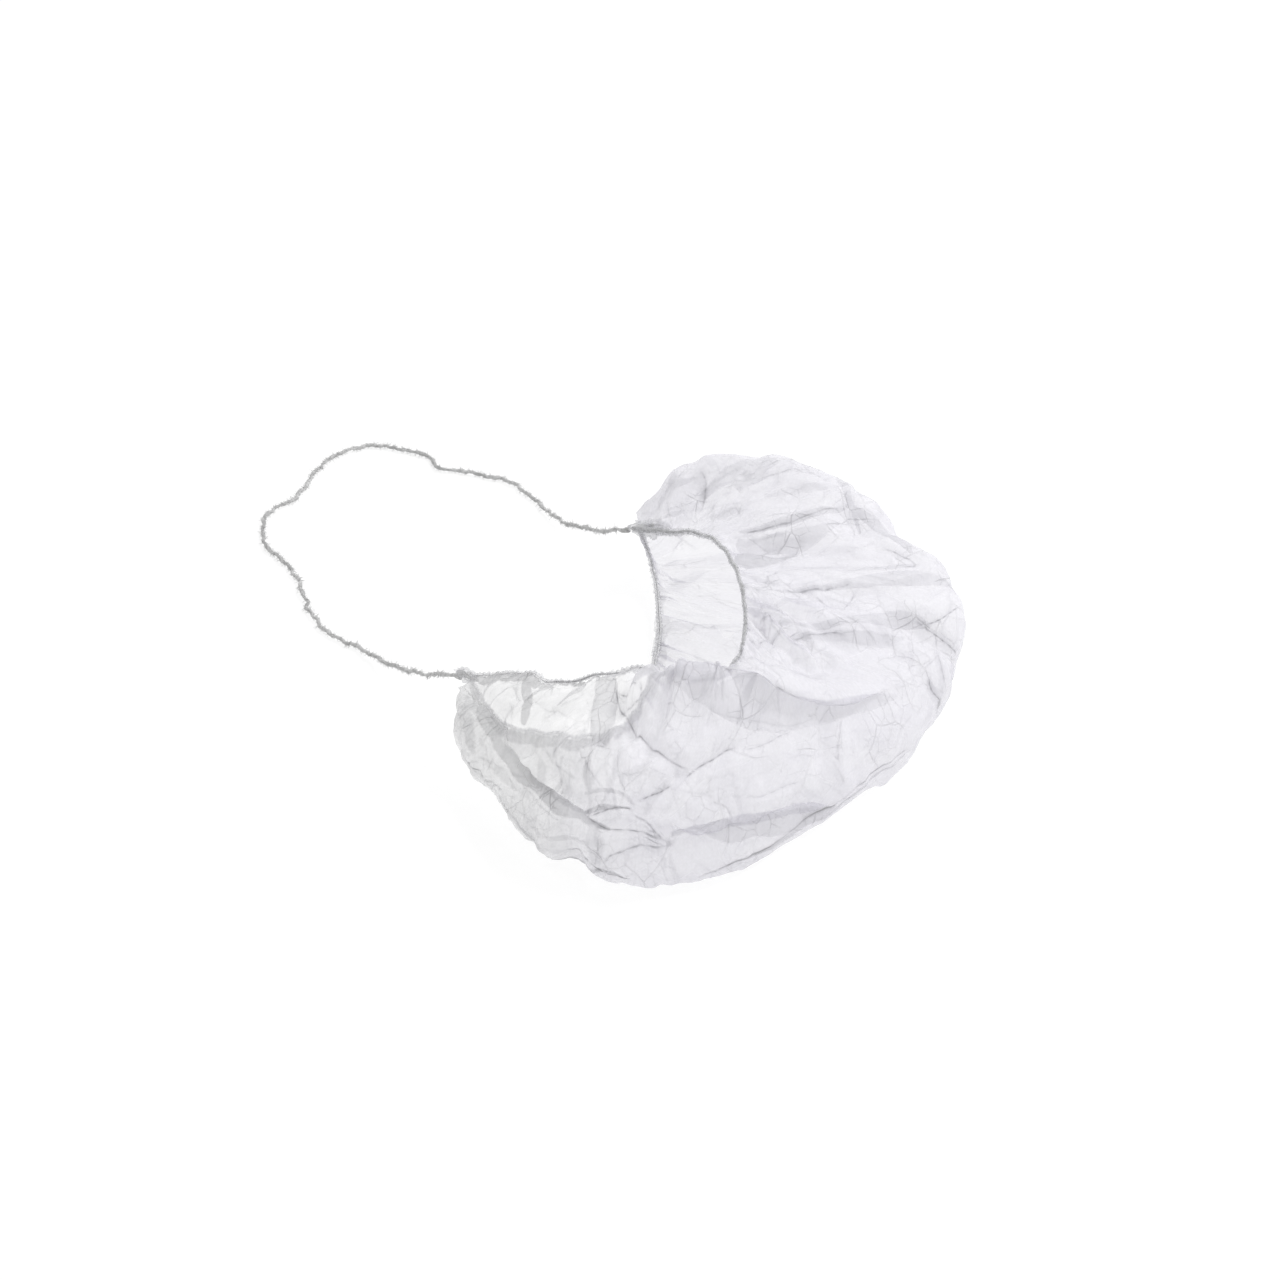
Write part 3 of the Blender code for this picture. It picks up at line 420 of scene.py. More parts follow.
LOOP_ROUTE = (
    (-0.0500, 0.0740, 0.0248),
    (-0.0500, 0.0788, 0.0232),
    (-0.0484, 0.0868, 0.0180),
    (-0.0462, 0.0960, 0.0129),
    (-0.0438, 0.1058, 0.0085),
    (-0.0408, 0.1150, 0.0044),
    (-0.0383, 0.1245, 0.0023),
    (-0.0377, 0.1342, 0.0014),
    (-0.0366, 0.1462, 0.0014),
    (-0.0332, 0.1548, 0.0014),
    (-0.0266, 0.1655, 0.0014),
    (-0.0188, 0.1752, 0.0014),
    (-0.0142, 0.1862, 0.0014),
    (-0.0112, 0.1950, 0.0014),
    (-0.0056, 0.2032, 0.0014),
    (0.0016, 0.2082, 0.0014),
    (0.0094, 0.2086, 0.0014),
    (0.0164, 0.2064, 0.0014),
    (0.0244, 0.2078, 0.0014),
    (0.0340, 0.2108, 0.0014),
    (0.0452, 0.2124, 0.0014),
    (0.0542, 0.2088, 0.0014),
    (0.0614, 0.2028, 0.0014),
    (0.0652, 0.1936, 0.0014),
    (0.0672, 0.1828, 0.0014),
    (0.0648, 0.1728, 0.0014),
    (0.0676, 0.1638, 0.0014),
    (0.0704, 0.1560, 0.0014),
    (0.0728, 0.1486, 0.0014),
    (0.0716, 0.1392, 0.0014),
    (0.0676, 0.1272, 0.0016),
    (0.0622, 0.1148, 0.0032),
    (0.0578, 0.1026, 0.0086),
    (0.0538, 0.0912, 0.0145),
    (0.0500, 0.0788, 0.0222),
    (0.0500, 0.0740, 0.0248),
)


def unit(vectors: np.ndarray) -> np.ndarray:
    """Give vectors, along the last axis, the length 1."""
    return vectors / np.maximum(np.linalg.norm(vectors, axis=-1, keepdims=True), 1e-12)


def smooth_read(rows: np.ndarray, number: np.ndarray) -> np.ndarray:
    """Read a smooth curve through rows.

    Args:
        rows: one row a point.
        number: places in rows, which may be fractions.

    Returns:
        One row for each place.
    """
    last = len(rows) - 1
    place = np.clip(np.asarray(number, float), 0, last)
    low = np.minimum(place.astype(int), last - 1)
    part = (place - low)[..., None]
    padded = np.vstack([2 * rows[0] - rows[1], rows, 2 * rows[-1] - rows[-2]])
    before, start, end, after = (padded[low + step] for step in range(4))
    bend = 2 * before - 5 * start + 4 * end - after
    twist = 3 * start - before - 3 * end + after
    return 0.5 * (2 * start + (end - before) * part + bend * part**2 + twist * part**3)


def lengths_along(points: np.ndarray) -> np.ndarray:
    """Give the length along a polyline, from 0, at each of its points."""
    steps = np.linalg.norm(np.diff(points, axis=0), axis=1)
    return np.concatenate([[0.0], np.cumsum(steps)])


def read_at(points: np.ndarray, places: np.ndarray) -> np.ndarray:
    """Read a polyline at lengths along it, one row for each length."""
    lengths = lengths_along(points)
    return np.stack([np.interp(places, lengths, points[:, axis]) for axis in range(points.shape[1])], axis=1)


def even_steps(points: np.ndarray, step: float) -> np.ndarray:
    """Read a polyline from end to end in even steps of about a given length."""
    whole = lengths_along(points)[-1]
    return read_at(points, np.linspace(0, whole, max(int(whole / step), 2)))


def grain(points: np.ndarray, scale: float, seed: float) -> np.ndarray:
    """Read noise from about -1 to 1 at points. It changes scale times a metre, and the seed moves it."""
    shift = Vector((seed * 7.31, seed * 3.17, seed * 5.53))
    return np.array([noise.noise(Vector(point) * scale + shift) for point in points.tolist()])


def bell(away: np.ndarray, width: float) -> np.ndarray:
    """Give a strength that falls from 1 at no distance as a bell of a given width does."""
    return np.exp(-((away / width) ** 2))


def faded_out(away: np.ndarray, length: float | np.ndarray) -> np.ndarray:
    """Give a strength that falls smoothly from 1 at no distance to 0 at a given length."""
    return np.maximum(1 - (away / length) ** 2, 0) ** 2


def faded_ends(share: np.ndarray, fullness: float) -> np.ndarray:
    """Give the strength at shares of a line, which fades out at both ends, later for a greater fullness."""
    return np.clip(np.sin(np.pi * np.clip(share, 0.01, 0.99)) * fullness, 0, 1)


def add_object(name: str, mesh: bmesh.types.BMesh) -> bpy.types.Object:
    """Turn a finished bmesh, which is freed, into an object of the scene.

    Args:
        name: what the object and its mesh are called.
        mesh: the bmesh.

    Returns:
        The new object.
    """
    data = bpy.data.meshes.new(name)
    mesh.to_mesh(data)
    mesh.free()
    made = bpy.data.objects.new(name, data)
    bpy.context.scene.collection.objects.link(made)
    return made


@dataclass(frozen=True)
class CoverPlan:
    """The cover's sizes and the smooth surface that its fabric follows."""

    join_span: float = 0.100
    join_height: float = 0.027
    join_setback: float = 0.070
    mouth_reach: float = 0.085
    mouth_height: float = 0.050
    throat_reach: float = 0.0415
    throat_height: float = 0.003
    pouch_width: float = 0.187
    pouch_reach: float = 0.136
    pouch_lean: float = 0.0055
    puff_height: float = 0.050
    rim_radius: float = 0.0013
    rim_wave_count: int = 17
    rim_wave_depth: float = 0.0007
    rim_end_power: float = 0.6
    floor_gap: float = 0.0004
    crown_place: float = 1.35
    crown_power: float = 1.2
    tuck_share: float = 0.8
    tuck_limit: float = 0.4
    floor_power: int = 6
    upper_points: int = 140
    turn_points: int = 32
    floor_points: int = 80

    def rim_points(self, rim: Rim) -> np.ndarray:
        """Give a rim's table in metres.

        Args:
            rim: which rim.

        Returns:
            One point a section.
        """
        if rim is Rim.MOUTH:
            rows, reach, rise = MOUTH_ROWS, self.mouth_reach, self.mouth_height - self.join_height
        else:
            rows, reach, rise = THROAT_ROWS, self.throat_reach, self.throat_height - self.join_height
        half = self.join_span / 2
        return np.array([
            (row.across * half, self.join_setback - row.forward * reach, self.join_height + row.turn * rise)
            for row in rows
        ])

    def rim_line(self, rim: Rim, numbers: np.ndarray) -> np.ndarray:
        """Read a rim's centre line, slightly waved by its gathers.

        Args:
            rim: which rim.
            numbers: section numbers.

        Returns:
            One point for each number.
        """
        turn = np.asarray(numbers, float) / (SECTIONS - 1)
        ends = np.abs(np.sin(np.pi * turn)) ** self.rim_end_power
        place = smooth_read(self.rim_points(rim), numbers)
        wave = self.rim_wave_depth * np.sin(2 * np.pi * self.rim_wave_count * turn) * ends
        place[..., 2] = np.maximum(place[..., 2] + wave, self.rim_radius + self.floor_gap)
        return place

    def edge_points(self) -> np.ndarray:
        """Give the outer edge's table in metres.

        Returns:
            One row a section: the place, the crown's rise and the belly's height.
        """
        rows = []
        for number, row in enumerate(EDGE_ROWS):
            side = -1 if number < SECTIONS / 2 else 1
            own = self.pouch_lean * (1 - row.join_pull) + row.across * self.pouch_width / 2
            rows.append((
                row.join_pull * side * self.join_span / 2 + own,
                self.join_setback - row.forward * self.pouch_reach,
                row.join_pull * self.join_height + row.height * self.puff_height,
                row.crown * self.puff_height,
                row.belly * self.join_height,
            ))
        return np.array(rows)

    def section(self, number: float) -> np.ndarray:
        """Give one section of the fabric, from the mouth rim's centre line to the throat rim's.

        Args:
            number: the section's number, which may be a fraction.

        Returns:
            The section's points.
        """
        mouth = self.rim_line(Rim.MOUTH, number)
        throat = self.rim_line(Rim.THROAT, number)
        row = smooth_read(self.edge_points(), number)
        edge, crown, belly = row[:3], row[3], row[4]
        share = np.linspace(0, 1, self.upper_points)[:, None]
        out, level = np.sin(share * np.pi / 2), np.cos(share * np.pi / 2)
        bulge = crown * np.abs(np.sin(np.pi * share**self.crown_place)) ** self.crown_power
        upper = np.hstack([mouth[:2] + (edge[:2] - mouth[:2]) * out, edge[2] + (mouth[2] - edge[2]) * level + bulge])
        inward = throat[:2] - edge[:2]
        reach = float(np.linalg.norm(inward))
        tuck = min(self.tuck_share * max(edge[2] - belly, 0.0), self.tuck_limit * reach)
        sole = edge[:2] + inward / reach * tuck
        share = np.linspace(0, 1, self.turn_points)[1:, None]
        turned = 1 - np.cos(share * np.pi / 2)
        sunk = edge[2] + (belly - edge[2]) * np.sin(share * np.pi / 2)
        under = np.hstack([edge[:2] + (sole - edge[:2]) * turned, sunk])
        share = np.linspace(0, 1, self.floor_points)[1:, None]
        rise = share**self.floor_power
        floor = np.hstack([sole + (throat[:2] - sole) * share, belly + (throat[2] - belly) * rise])
        return np.vstack([upper, under, floor])


@dataclass
class Tube:
    """A round piece swept along a path, whose radius may change along and around it."""

    name: str
    path: np.ndarray
    radius: np.ndarray
    sides: int = 10

    def frames(self) -> tuple[np.ndarray, np.ndarray]:
        """Give two directions across the path at each point, carried along without twist.

        Returns:
            The first and the second direction, one row a point.
        """
        ahead = unit(np.gradient(self.path, axis=0))
        start = np.cross(ahead[0], (0.0, 0.0, 1.0))
        if np.linalg.norm(start) < 1e-6:
            start = np.array((1.0, 0.0, 0.0))
        across = [unit(start)]
        for direction in ahead[1:]:
            kept = across[-1] - direction * float(np.dot(across[-1], direction))
            across.append(unit(kept))
        first = np.array(across)
        return first, np.cross(ahead, first)

    def points(self) -> np.ndarray:
        """Give the surface's points, one row a ring and one column a side.

        Returns:
            An array of rings by sides plus one by three.
        """
        first, second = self.frames()
        angle = np.linspace(0, 2 * np.pi, self.sides + 1)
        radius = np.broadcast_to(self.radius, (len(self.path), self.sides + 1))
        ring = np.cos(angle)[None, :, None] * first[:, None] + np.sin(angle)[None, :, None] * second[:, None]
        return self.path[:, None] + ring * radius[..., None]

    def build(self) -> bpy.types.Object:
        """Make the tube, closed at both ends."""
        return Lattice(self.name, self.points(), lengths_along(self.path), rolled=True).build()


@dataclass
class Lattice:
    """A surface whose points are given row by row, with its flat place kept as a UV map."""

    name: str
    points: np.ndarray
    along: np.ndarray
    across: np.ndarray | None = None
    rolled: bool = False
    flat: np.ndarray | None = None
    values: dict[str, np.ndarray] = field(default_factory=dict)

    def flat_places(self) -> np.ndarray:
        """Give each point's place in the UV map, in half metres.

        Returns:
            An array of rows by columns by two.
        """
        if self.flat is not None:
            return self.flat * 2
        columns = self.points.shape[1]
        across = np.linspace(0, 0.01, columns) if self.across is None else self.across
        return np.stack(np.broadcast_arrays(self.along[:, None], across[None, :]), axis=-1) * 2

    def build(self) -> bpy.types.Object:
        """Make the surface from a grid.

        Returns:
            The new object.
        """
        rows, columns = self.points.shape[:2]
        mesh = bmesh.new()
        bmesh.ops.create_grid(mesh, x_segments=rows - 1, y_segments=columns - 1, size=0.5)
        uv = mesh.loops.layers.uv.new("flat")
        layers = {name: mesh.verts.layers.float.new(name) for name in self.values}
        flat = self.flat_places()
        for vert in mesh.verts:
            row = round((vert.co.x + 0.5) * (rows - 1))
            column = round((vert.co.y + 0.5) * (columns - 1))
            for loop in vert.link_loops:
                loop[uv].uv = flat[row, column]
            for name, layer in layers.items():
                vert[layer] = float(self.values[name][row, column])
            vert.co = Vector(self.points[row, column])
        bmesh.ops.reverse_faces(mesh, faces=mesh.faces)
        if self.rolled:
            bmesh.ops.remove_doubles(mesh, verts=mesh.verts, dist=1e-7)
            bmesh.ops.holes_fill(mesh, edges=mesh.edges, sides=columns)
            bmesh.ops.recalc_face_normals(mesh, faces=mesh.faces)
        made = add_object(self.name, mesh)
        made.data.shade_smooth()
        return made


class Nodes:
    """A material's nodes, added and joined by short calls."""

    def __init__(self, name: str) -> None:
        """Start a material with an empty tree and its output.

        Args:
            name: what the material is called.
        """
        self.material = bpy.data.materials.new(name)
        self.material.use_nodes = True
        self.tree = self.material.node_tree
        self.tree.nodes.clear()
        self.output = self.tree.nodes.new("ShaderNodeOutputMaterial")

    def add(self, kind: str, settings: dict | None = None, **inputs: object) -> bpy.types.Node:
        """Add a node.

        Args:
            kind: the node's type name after ShaderNode.
            settings: properties of the node itself.
            inputs: a value or a socket for each input, with spaces written as underscores.

        Returns:
            The new node.
        """
        node = self.tree.nodes.new("ShaderNode" + kind)
        for name, value in (settings or {}).items():
            setattr(node, name, value)
        for name, value in inputs.items():
            self.give(node.inputs[name.replace("_", " ")], value)
        return node

    def give(self, socket: bpy.types.NodeSocket, value: object) -> None:
        """Link or set an input.

        Args:
            socket: the input.
            value: a value or the socket that feeds it.
        """
        if isinstance(value, bpy.types.NodeSocket):
            self.tree.links.new(value, socket)
        else:
            socket.default_value = value

    def math(self, operation: str, first: object, second: object = 0.0, clamp: bool = False) -> bpy.types.NodeSocket:
        """Work out one value from two.

        Args:
            operation: the Math node's operation.
            first: a value or a socket.
            second: a value or a socket.
            clamp: whether the result is kept from 0 to 1.

        Returns:
            The result's socket.
        """
        node = self.tree.nodes.new("ShaderNodeMath")
        node.operation = operation
        node.use_clamp = clamp
        self.give(node.inputs[0], first)
        self.give(node.inputs[1], second)
        return node.outputs[0]

    def ramp(
        self, value: object, low: float, high: float, start: float = 0.0, end: float = 1.0
    ) -> bpy.types.NodeSocket:
        """Map a value smoothly from one range to another.

        Args:
            value: the socket that is read.
            low: where the range starts.
            high: where the range ends.
            start: the result at low.
            end: the result at high.

        Returns:
            The result's socket.
        """
        node = self.add("MapRange", {"interpolation_type": "SMOOTHSTEP"}, Value=value)
        for name, amount in (("From Min", low), ("From Max", high), ("To Min", start), ("To Max", end)):
            node.inputs[name].default_value = amount
        return node.outputs["Result"]

    def blend(self, share: object, first: object, second: object) -> bpy.types.NodeSocket:
        """Mix two colours by a share of the second.

        Args:
            share: a value or a socket from 0 to 1.
            first: a colour or a socket.
            second: a colour or a socket.

        Returns:
            The result's socket.
        """
        node = self.tree.nodes.new("ShaderNodeMix")
        node.data_type = "RGBA"
        self.give(node.inputs[0], share)
        self.give(node.inputs[6], first)
        self.give(node.inputs[7], second)
        return node.outputs[2]

    def scaled(self, value: object, factor: float, added: object) -> bpy.types.NodeSocket:
        """Work out a value times a factor, plus another value.

        Args:
            value: a value or a socket.
            factor: what it is multiplied by.
            added: a value or a socket.

        Returns:
            The result's socket.
        """
        result = self.math("MULTIPLY_ADD", value, factor)
        self.give(result.node.inputs[2], added)
        return result

    def mixed(self, share: object, first: bpy.types.NodeSocket, second: bpy.types.NodeSocket) -> bpy.types.NodeSocket:
        """Mix two shaders by a share of the second.

        Args:
            share: a value or a socket from 0 to 1.
            first: a shader's socket.
            second: a shader's socket.

        Returns:
            The mixed shader's socket.
        """
        node = self.add("MixShader", Fac=share)
        self.give(node.inputs[1], first)
        self.give(node.inputs[2], second)
        return node.outputs[0]

    def finish(self, surface: bpy.types.NodeSocket) -> bpy.types.Material:
        """Join a shader's socket to the output and give the finished material."""
        self.tree.links.new(surface, self.output.inputs["Surface"])
        return self.material


@dataclass(frozen=True)
class NonwovenFinish:
    """Thin white spunbond: see-through, clouded, with fine fibres, creases and denser folds, whose colour is darkened
    with painted shade.
    """

    colour: tuple = (0.785, 0.775, 0.825, 1.0)
    near_colour: tuple = (0.785, 0.785, 0.79, 1.0)
    tint_from: tuple = (0.11, 0.20)
    # Painted shade: the grey that folds, creases and doubled strips are darkened towards, partly the greyer look of
    # denser fabric and partly shade painted into the colour.
    dense_and_shaded_colour: tuple = (0.34, 0.34, 0.35, 1.0)
    opacity: float = 0.44
    cloud_depth: float = 0.06
    facet_depth: float = 0.14
    fibre_depth: float = 0.008
    bond_depth: float = 0.02
    net_depth: float = 0.13
    fold_depth: float = 0.40
    band_depth: float = 0.60
    line_depth: float = 0.55
    line_width: float = 0.00040
    cloud_scale: float = 230.0
    bond_scale: float = 720.0
    stir_scale: float = 60.0
    facet_scale: float = 85.0
    broad_net_scale: float = 62.0
    fine_net_scale: float = 190.0
    net_patch_scale: float = 55.0
    fibre_turns: tuple = (0.6, 2.2)
    fibre_scale: tuple = (2400.0, 260.0, 1.0)
    passed_light: float = 0.30
    bump: float = 0.5

    def fibres(self, nodes: Nodes, place: bpy.types.NodeSocket) -> bpy.types.NodeSocket:
        """Draw fine fibres that lie in two directions.

        Args:
            nodes: the material's nodes.
            place: the flat place in metres.

        Returns:
            A value that is 1 on a fibre.
        """
        found = None
        for turn in self.fibre_turns:
            turned = nodes.add("VectorRotate", {"rotation_type": "Z_AXIS"}, Vector=place, Angle=turn)
            longer = nodes.add("Mapping", Vector=turned.outputs[0], Scale=self.fibre_scale)
            streaks = nodes.add("TexNoise", FLAT_NOISE, Vector=longer.outputs[0], Scale=1.0, Detail=0.0, Distortion=0.4)
            line = nodes.ramp(streaks.outputs["Fac"], 0.50, 0.66)
            found = line if found is None else nodes.math("MAXIMUM", found, line)
        return found

    def strips(self, nodes: Nodes, name: str, softness: float) -> bpy.types.NodeSocket:
        """Draw strips of doubled fabric from their edge distance and density on the mesh.

        Args:
            nodes: the material's nodes.
            name: the name that both attributes start with.
            softness: how wide the strips' edges are.

        Returns:
            The strips' density.
        """
        side = nodes.add("Attribute", {"attribute_name": name + "_side"}).outputs["Fac"]
        density = nodes.add("Attribute", {"attribute_name": name}).outputs["Fac"]
        return nodes.math("MULTIPLY", nodes.ramp(side, -softness, softness, 1.0, 0.0), density)

    def lines(self, nodes: Nodes) -> bpy.types.NodeSocket:
        """Draw the placed creases, thin and sharp, from their distance and strength on the mesh.

        Args:
            nodes: the material's nodes.

        Returns:
            A value that is 1 on a strong crease.
        """
        side = nodes.add("Attribute", {"attribute_name": "crease_side"}).outputs["Fac"]
        strength = nodes.add("Attribute", {"attribute_name": "crease"}).outputs["Fac"]
        near = nodes.ramp(nodes.math("ABSOLUTE", side), 0.25 * self.line_width, self.line_width, 1.0, 0.0)
        # The halo is a soft darker margin beside each crease; in the colour it is painted shade.
        halo = nodes.ramp(nodes.math("ABSOLUTE", side), 0.0, 4 * self.line_width, 0.35, 0.0)
        return nodes.math("MULTIPLY", nodes.math("MAXIMUM", near, halo), strength)

    def stirred(self, nodes: Nodes, place: bpy.types.NodeSocket, scale: float) -> bpy.types.NodeSocket:
        """Shift the flat place unevenly, so that a pattern on it loses its regular form.

        Args:
            nodes: the material's nodes.
            place: the flat place in metres.
            scale: how many facets the pattern has in a metre.

        Returns:
            The shifted place.
        """
        stir = nodes.add("TexNoise", FLAT_NOISE, Vector=place, Scale=scale * 0.8, Detail=1.0)
        shift = nodes.add("VectorMath", {"operation": "SCALE"}, Vector=stir.outputs["Color"], Scale=0.35 / scale)
        moved = nodes.add("VectorMath", {"operation": "ADD"})
        nodes.give(moved.inputs[0], place)
        nodes.give(moved.inputs[1], shift.outputs[0])
        return moved.outputs[0]

    def creases(self, nodes: Nodes, place: bpy.types.NodeSocket, scale: float, width: float) -> bpy.types.NodeSocket:
        """Draw a net of fine creases.

        Args:
            nodes: the material's nodes.
            place: the stirred flat place.
            scale: how many facets there are in a metre.
            width: a crease's half width as a share of a facet.

        Returns:
            A value that is 1 on a crease.
        """
        settings = {"feature": "DISTANCE_TO_EDGE", **FLAT_CELLS}
        facets = nodes.add("TexVoronoi", settings, Vector=place, Scale=scale)
        return nodes.ramp(facets.outputs["Distance"], 0.0, width, 1.0, 0.0)

    def make(self) -> bpy.types.Material:
        """Make the material.

        Returns:
            The material.
        """
        nodes = Nodes("nonwoven")
        flat = nodes.add("UVMap", {"uv_map": "flat"})
        place = nodes.add("Mapping", Vector=flat.outputs[0], Scale=(0.5, 0.5, 0.5)).outputs[0]
        density = nodes.add("Attribute", {"attribute_name": "density"}).outputs["Fac"]
        lines = self.lines(nodes)
        bands = nodes.math("ADD", self.strips(nodes, "band", 0.00020), self.strips(nodes, "scrap", 0.00016))
        bands = nodes.math("ADD", bands, self.strips(nodes, "patch", 0.0022))
        clouds = nodes.add("TexNoise", FLAT_NOISE, Vector=place, Scale=self.cloud_scale, Detail=3.0, Roughness=0.62)
        cloud = clouds.outputs["Fac"]
        fibres = self.fibres(nodes, place)
        bonds = nodes.add("TexVoronoi", FLAT_CELLS, Vector=place, Scale=self.bond_scale, Randomness=0.2)
        bonds = nodes.ramp(bonds.outputs["Distance"], 0.18, 0.34, 1.0, 0.0)
        stirred = self.stirred(nodes, place, self.stir_scale)
        facets = nodes.add("TexVoronoi", FLAT_CELLS, Vector=stirred, Scale=self.facet_scale)
        facet = nodes.add("SeparateColor", Color=facets.outputs["Color"]).outputs[0]
        broad = self.creases(nodes, stirred, self.broad_net_scale, width=0.022)
        fine = self.creases(nodes, stirred, self.fine_net_scale, width=0.05)
        patches = nodes.add("TexNoise", FLAT_NOISE, Vector=place, Scale=self.net_patch_scale, Detail=1.0).outputs["Fac"]
        net = nodes.math("MAXIMUM", broad, nodes.math("MULTIPLY", fine, 0.6))
        net = nodes.math("MULTIPLY", net, nodes.ramp(patches, 0.42, 0.62))
        least = self.opacity - self.facet_depth / 2
        thick = nodes.scaled(nodes.math("SUBTRACT", cloud, 0.5), 2 * self.cloud_depth, least)
        for part, depth in (
            (facet, self.facet_depth),
            (fibres, self.fibre_depth),
            (bonds, self.bond_depth),
            (net, self.net_depth),
            (bands, self.band_depth),
            (lines, self.line_depth),
            (density, self.fold_depth),
        ):
            thick = nodes.scaled(part, depth, thick)
        opacity = nodes.math("MINIMUM", thick, 0.985, clamp=True)
        # Painted shade: crease nets, crease lines, doubled strips and the density attribute darken the colour towards
        # the fold grey, for the shade in folds and creases as well as the denser layers.
        drawn = nodes.math("MAXIMUM", nodes.math("MULTIPLY", net, 0.3), nodes.math("MULTIPLY", lines, 0.7))
        dense_and_shaded = nodes.scaled(bands, 0.55, nodes.math("MAXIMUM", drawn, density))
        dark = nodes.math("MINIMUM", dense_and_shaded, 1.0, clamp=True)
        along = nodes.add("SeparateXYZ", Vector=place).outputs["X"]
        plain = nodes.blend(nodes.ramp(along, *self.tint_from), self.near_colour, self.colour)
        colour = nodes.blend(dark, plain, self.dense_and_shaded_colour)
        height = nodes.scaled(nodes.math("MAXIMUM", net, lines), -1.0, nodes.scaled(cloud, 0.8, bands))
        bump = nodes.add("Bump", Height=height, Strength=self.bump, Distance=0.0006)
        cloth = nodes.add("BsdfPrincipled", Base_Color=colour, Roughness=0.5, Normal=bump.outputs[0])
        cloth.inputs["Sheen Weight"].default_value = 0.1
        cloth.inputs["Sheen Roughness"].default_value = 0.5
        cloth.inputs["Specular IOR Level"].default_value = 0.4
        glow = nodes.add("BsdfTranslucent", Color=colour, Normal=bump.outputs[0])
        lit = nodes.mixed(self.passed_light, cloth.outputs[0], glow.outputs[0])
        return nodes.finish(nodes.mixed(opacity, nodes.add("BsdfTransparent").outputs[0], lit))


@dataclass(frozen=True)
class FibrousFinish:
    """Matt fibrous cloth or thread, mottled along and around the piece."""

    name: str
    colour: tuple
    shade: tuple
    mottle: float = 900.0
    opacity: float = 1.0
    bump: float = 0.5

    def make(self) -> bpy.types.Material:
        """Make the material.

        Returns:
            The material.
        """
        nodes = Nodes(self.name)
        place = nodes.add("TexCoord").outputs["Object"]
        speckle = nodes.add("TexNoise", Vector=place, Scale=self.mottle, Detail=3.0, Roughness=0.65).outputs["Fac"]
        broad = nodes.add("TexNoise", Vector=place, Scale=self.mottle / 9, Detail=2.0).outputs["Fac"]
        blotches = nodes.math("MULTIPLY", nodes.ramp(broad, 0.35, 0.65), 0.4)
        share = nodes.scaled(nodes.ramp(speckle, 0.35, 0.65), 0.6, blotches)
        colour = nodes.blend(share, self.shade, self.colour)
        bump = nodes.add("Bump", Height=share, Strength=self.bump, Distance=0.0003)
        cloth = nodes.add("BsdfPrincipled", Base_Color=colour, Roughness=0.85, Normal=bump.outputs[0])
        cloth.inputs["Sheen Weight"].default_value = 0.2
        cloth.inputs["Specular IOR Level"].default_value = 0.2
        if self.opacity >= 1.0:
            return nodes.finish(cloth.outputs[0])
        return nodes.finish(nodes.mixed(self.opacity, nodes.add("BsdfTransparent").outputs[0], cloth.outputs[0]))


@dataclass(frozen=True)
class PaperFinish:
    """The plain pale floor."""

    colour: tuple = (0.24, 0.24, 0.24, 1.0)
    glow: float = 0.80

    def make(self) -> bpy.types.Material:
        """Make the material, lit softly from below as a light table is.

        Returns:
            The material.
        """
        nodes = Nodes("pale_floor")
        paper = nodes.add("BsdfPrincipled", Base_Color=self.colour, Roughness=0.9)
        paper.inputs["Specular IOR Level"].default_value = 0.0
        paper.inputs["Emission Color"].default_value = (1.0, 1.0, 1.0, 1.0)
        paper.inputs["Emission Strength"].default_value = self.glow
        return nodes.finish(paper.outputs[0])


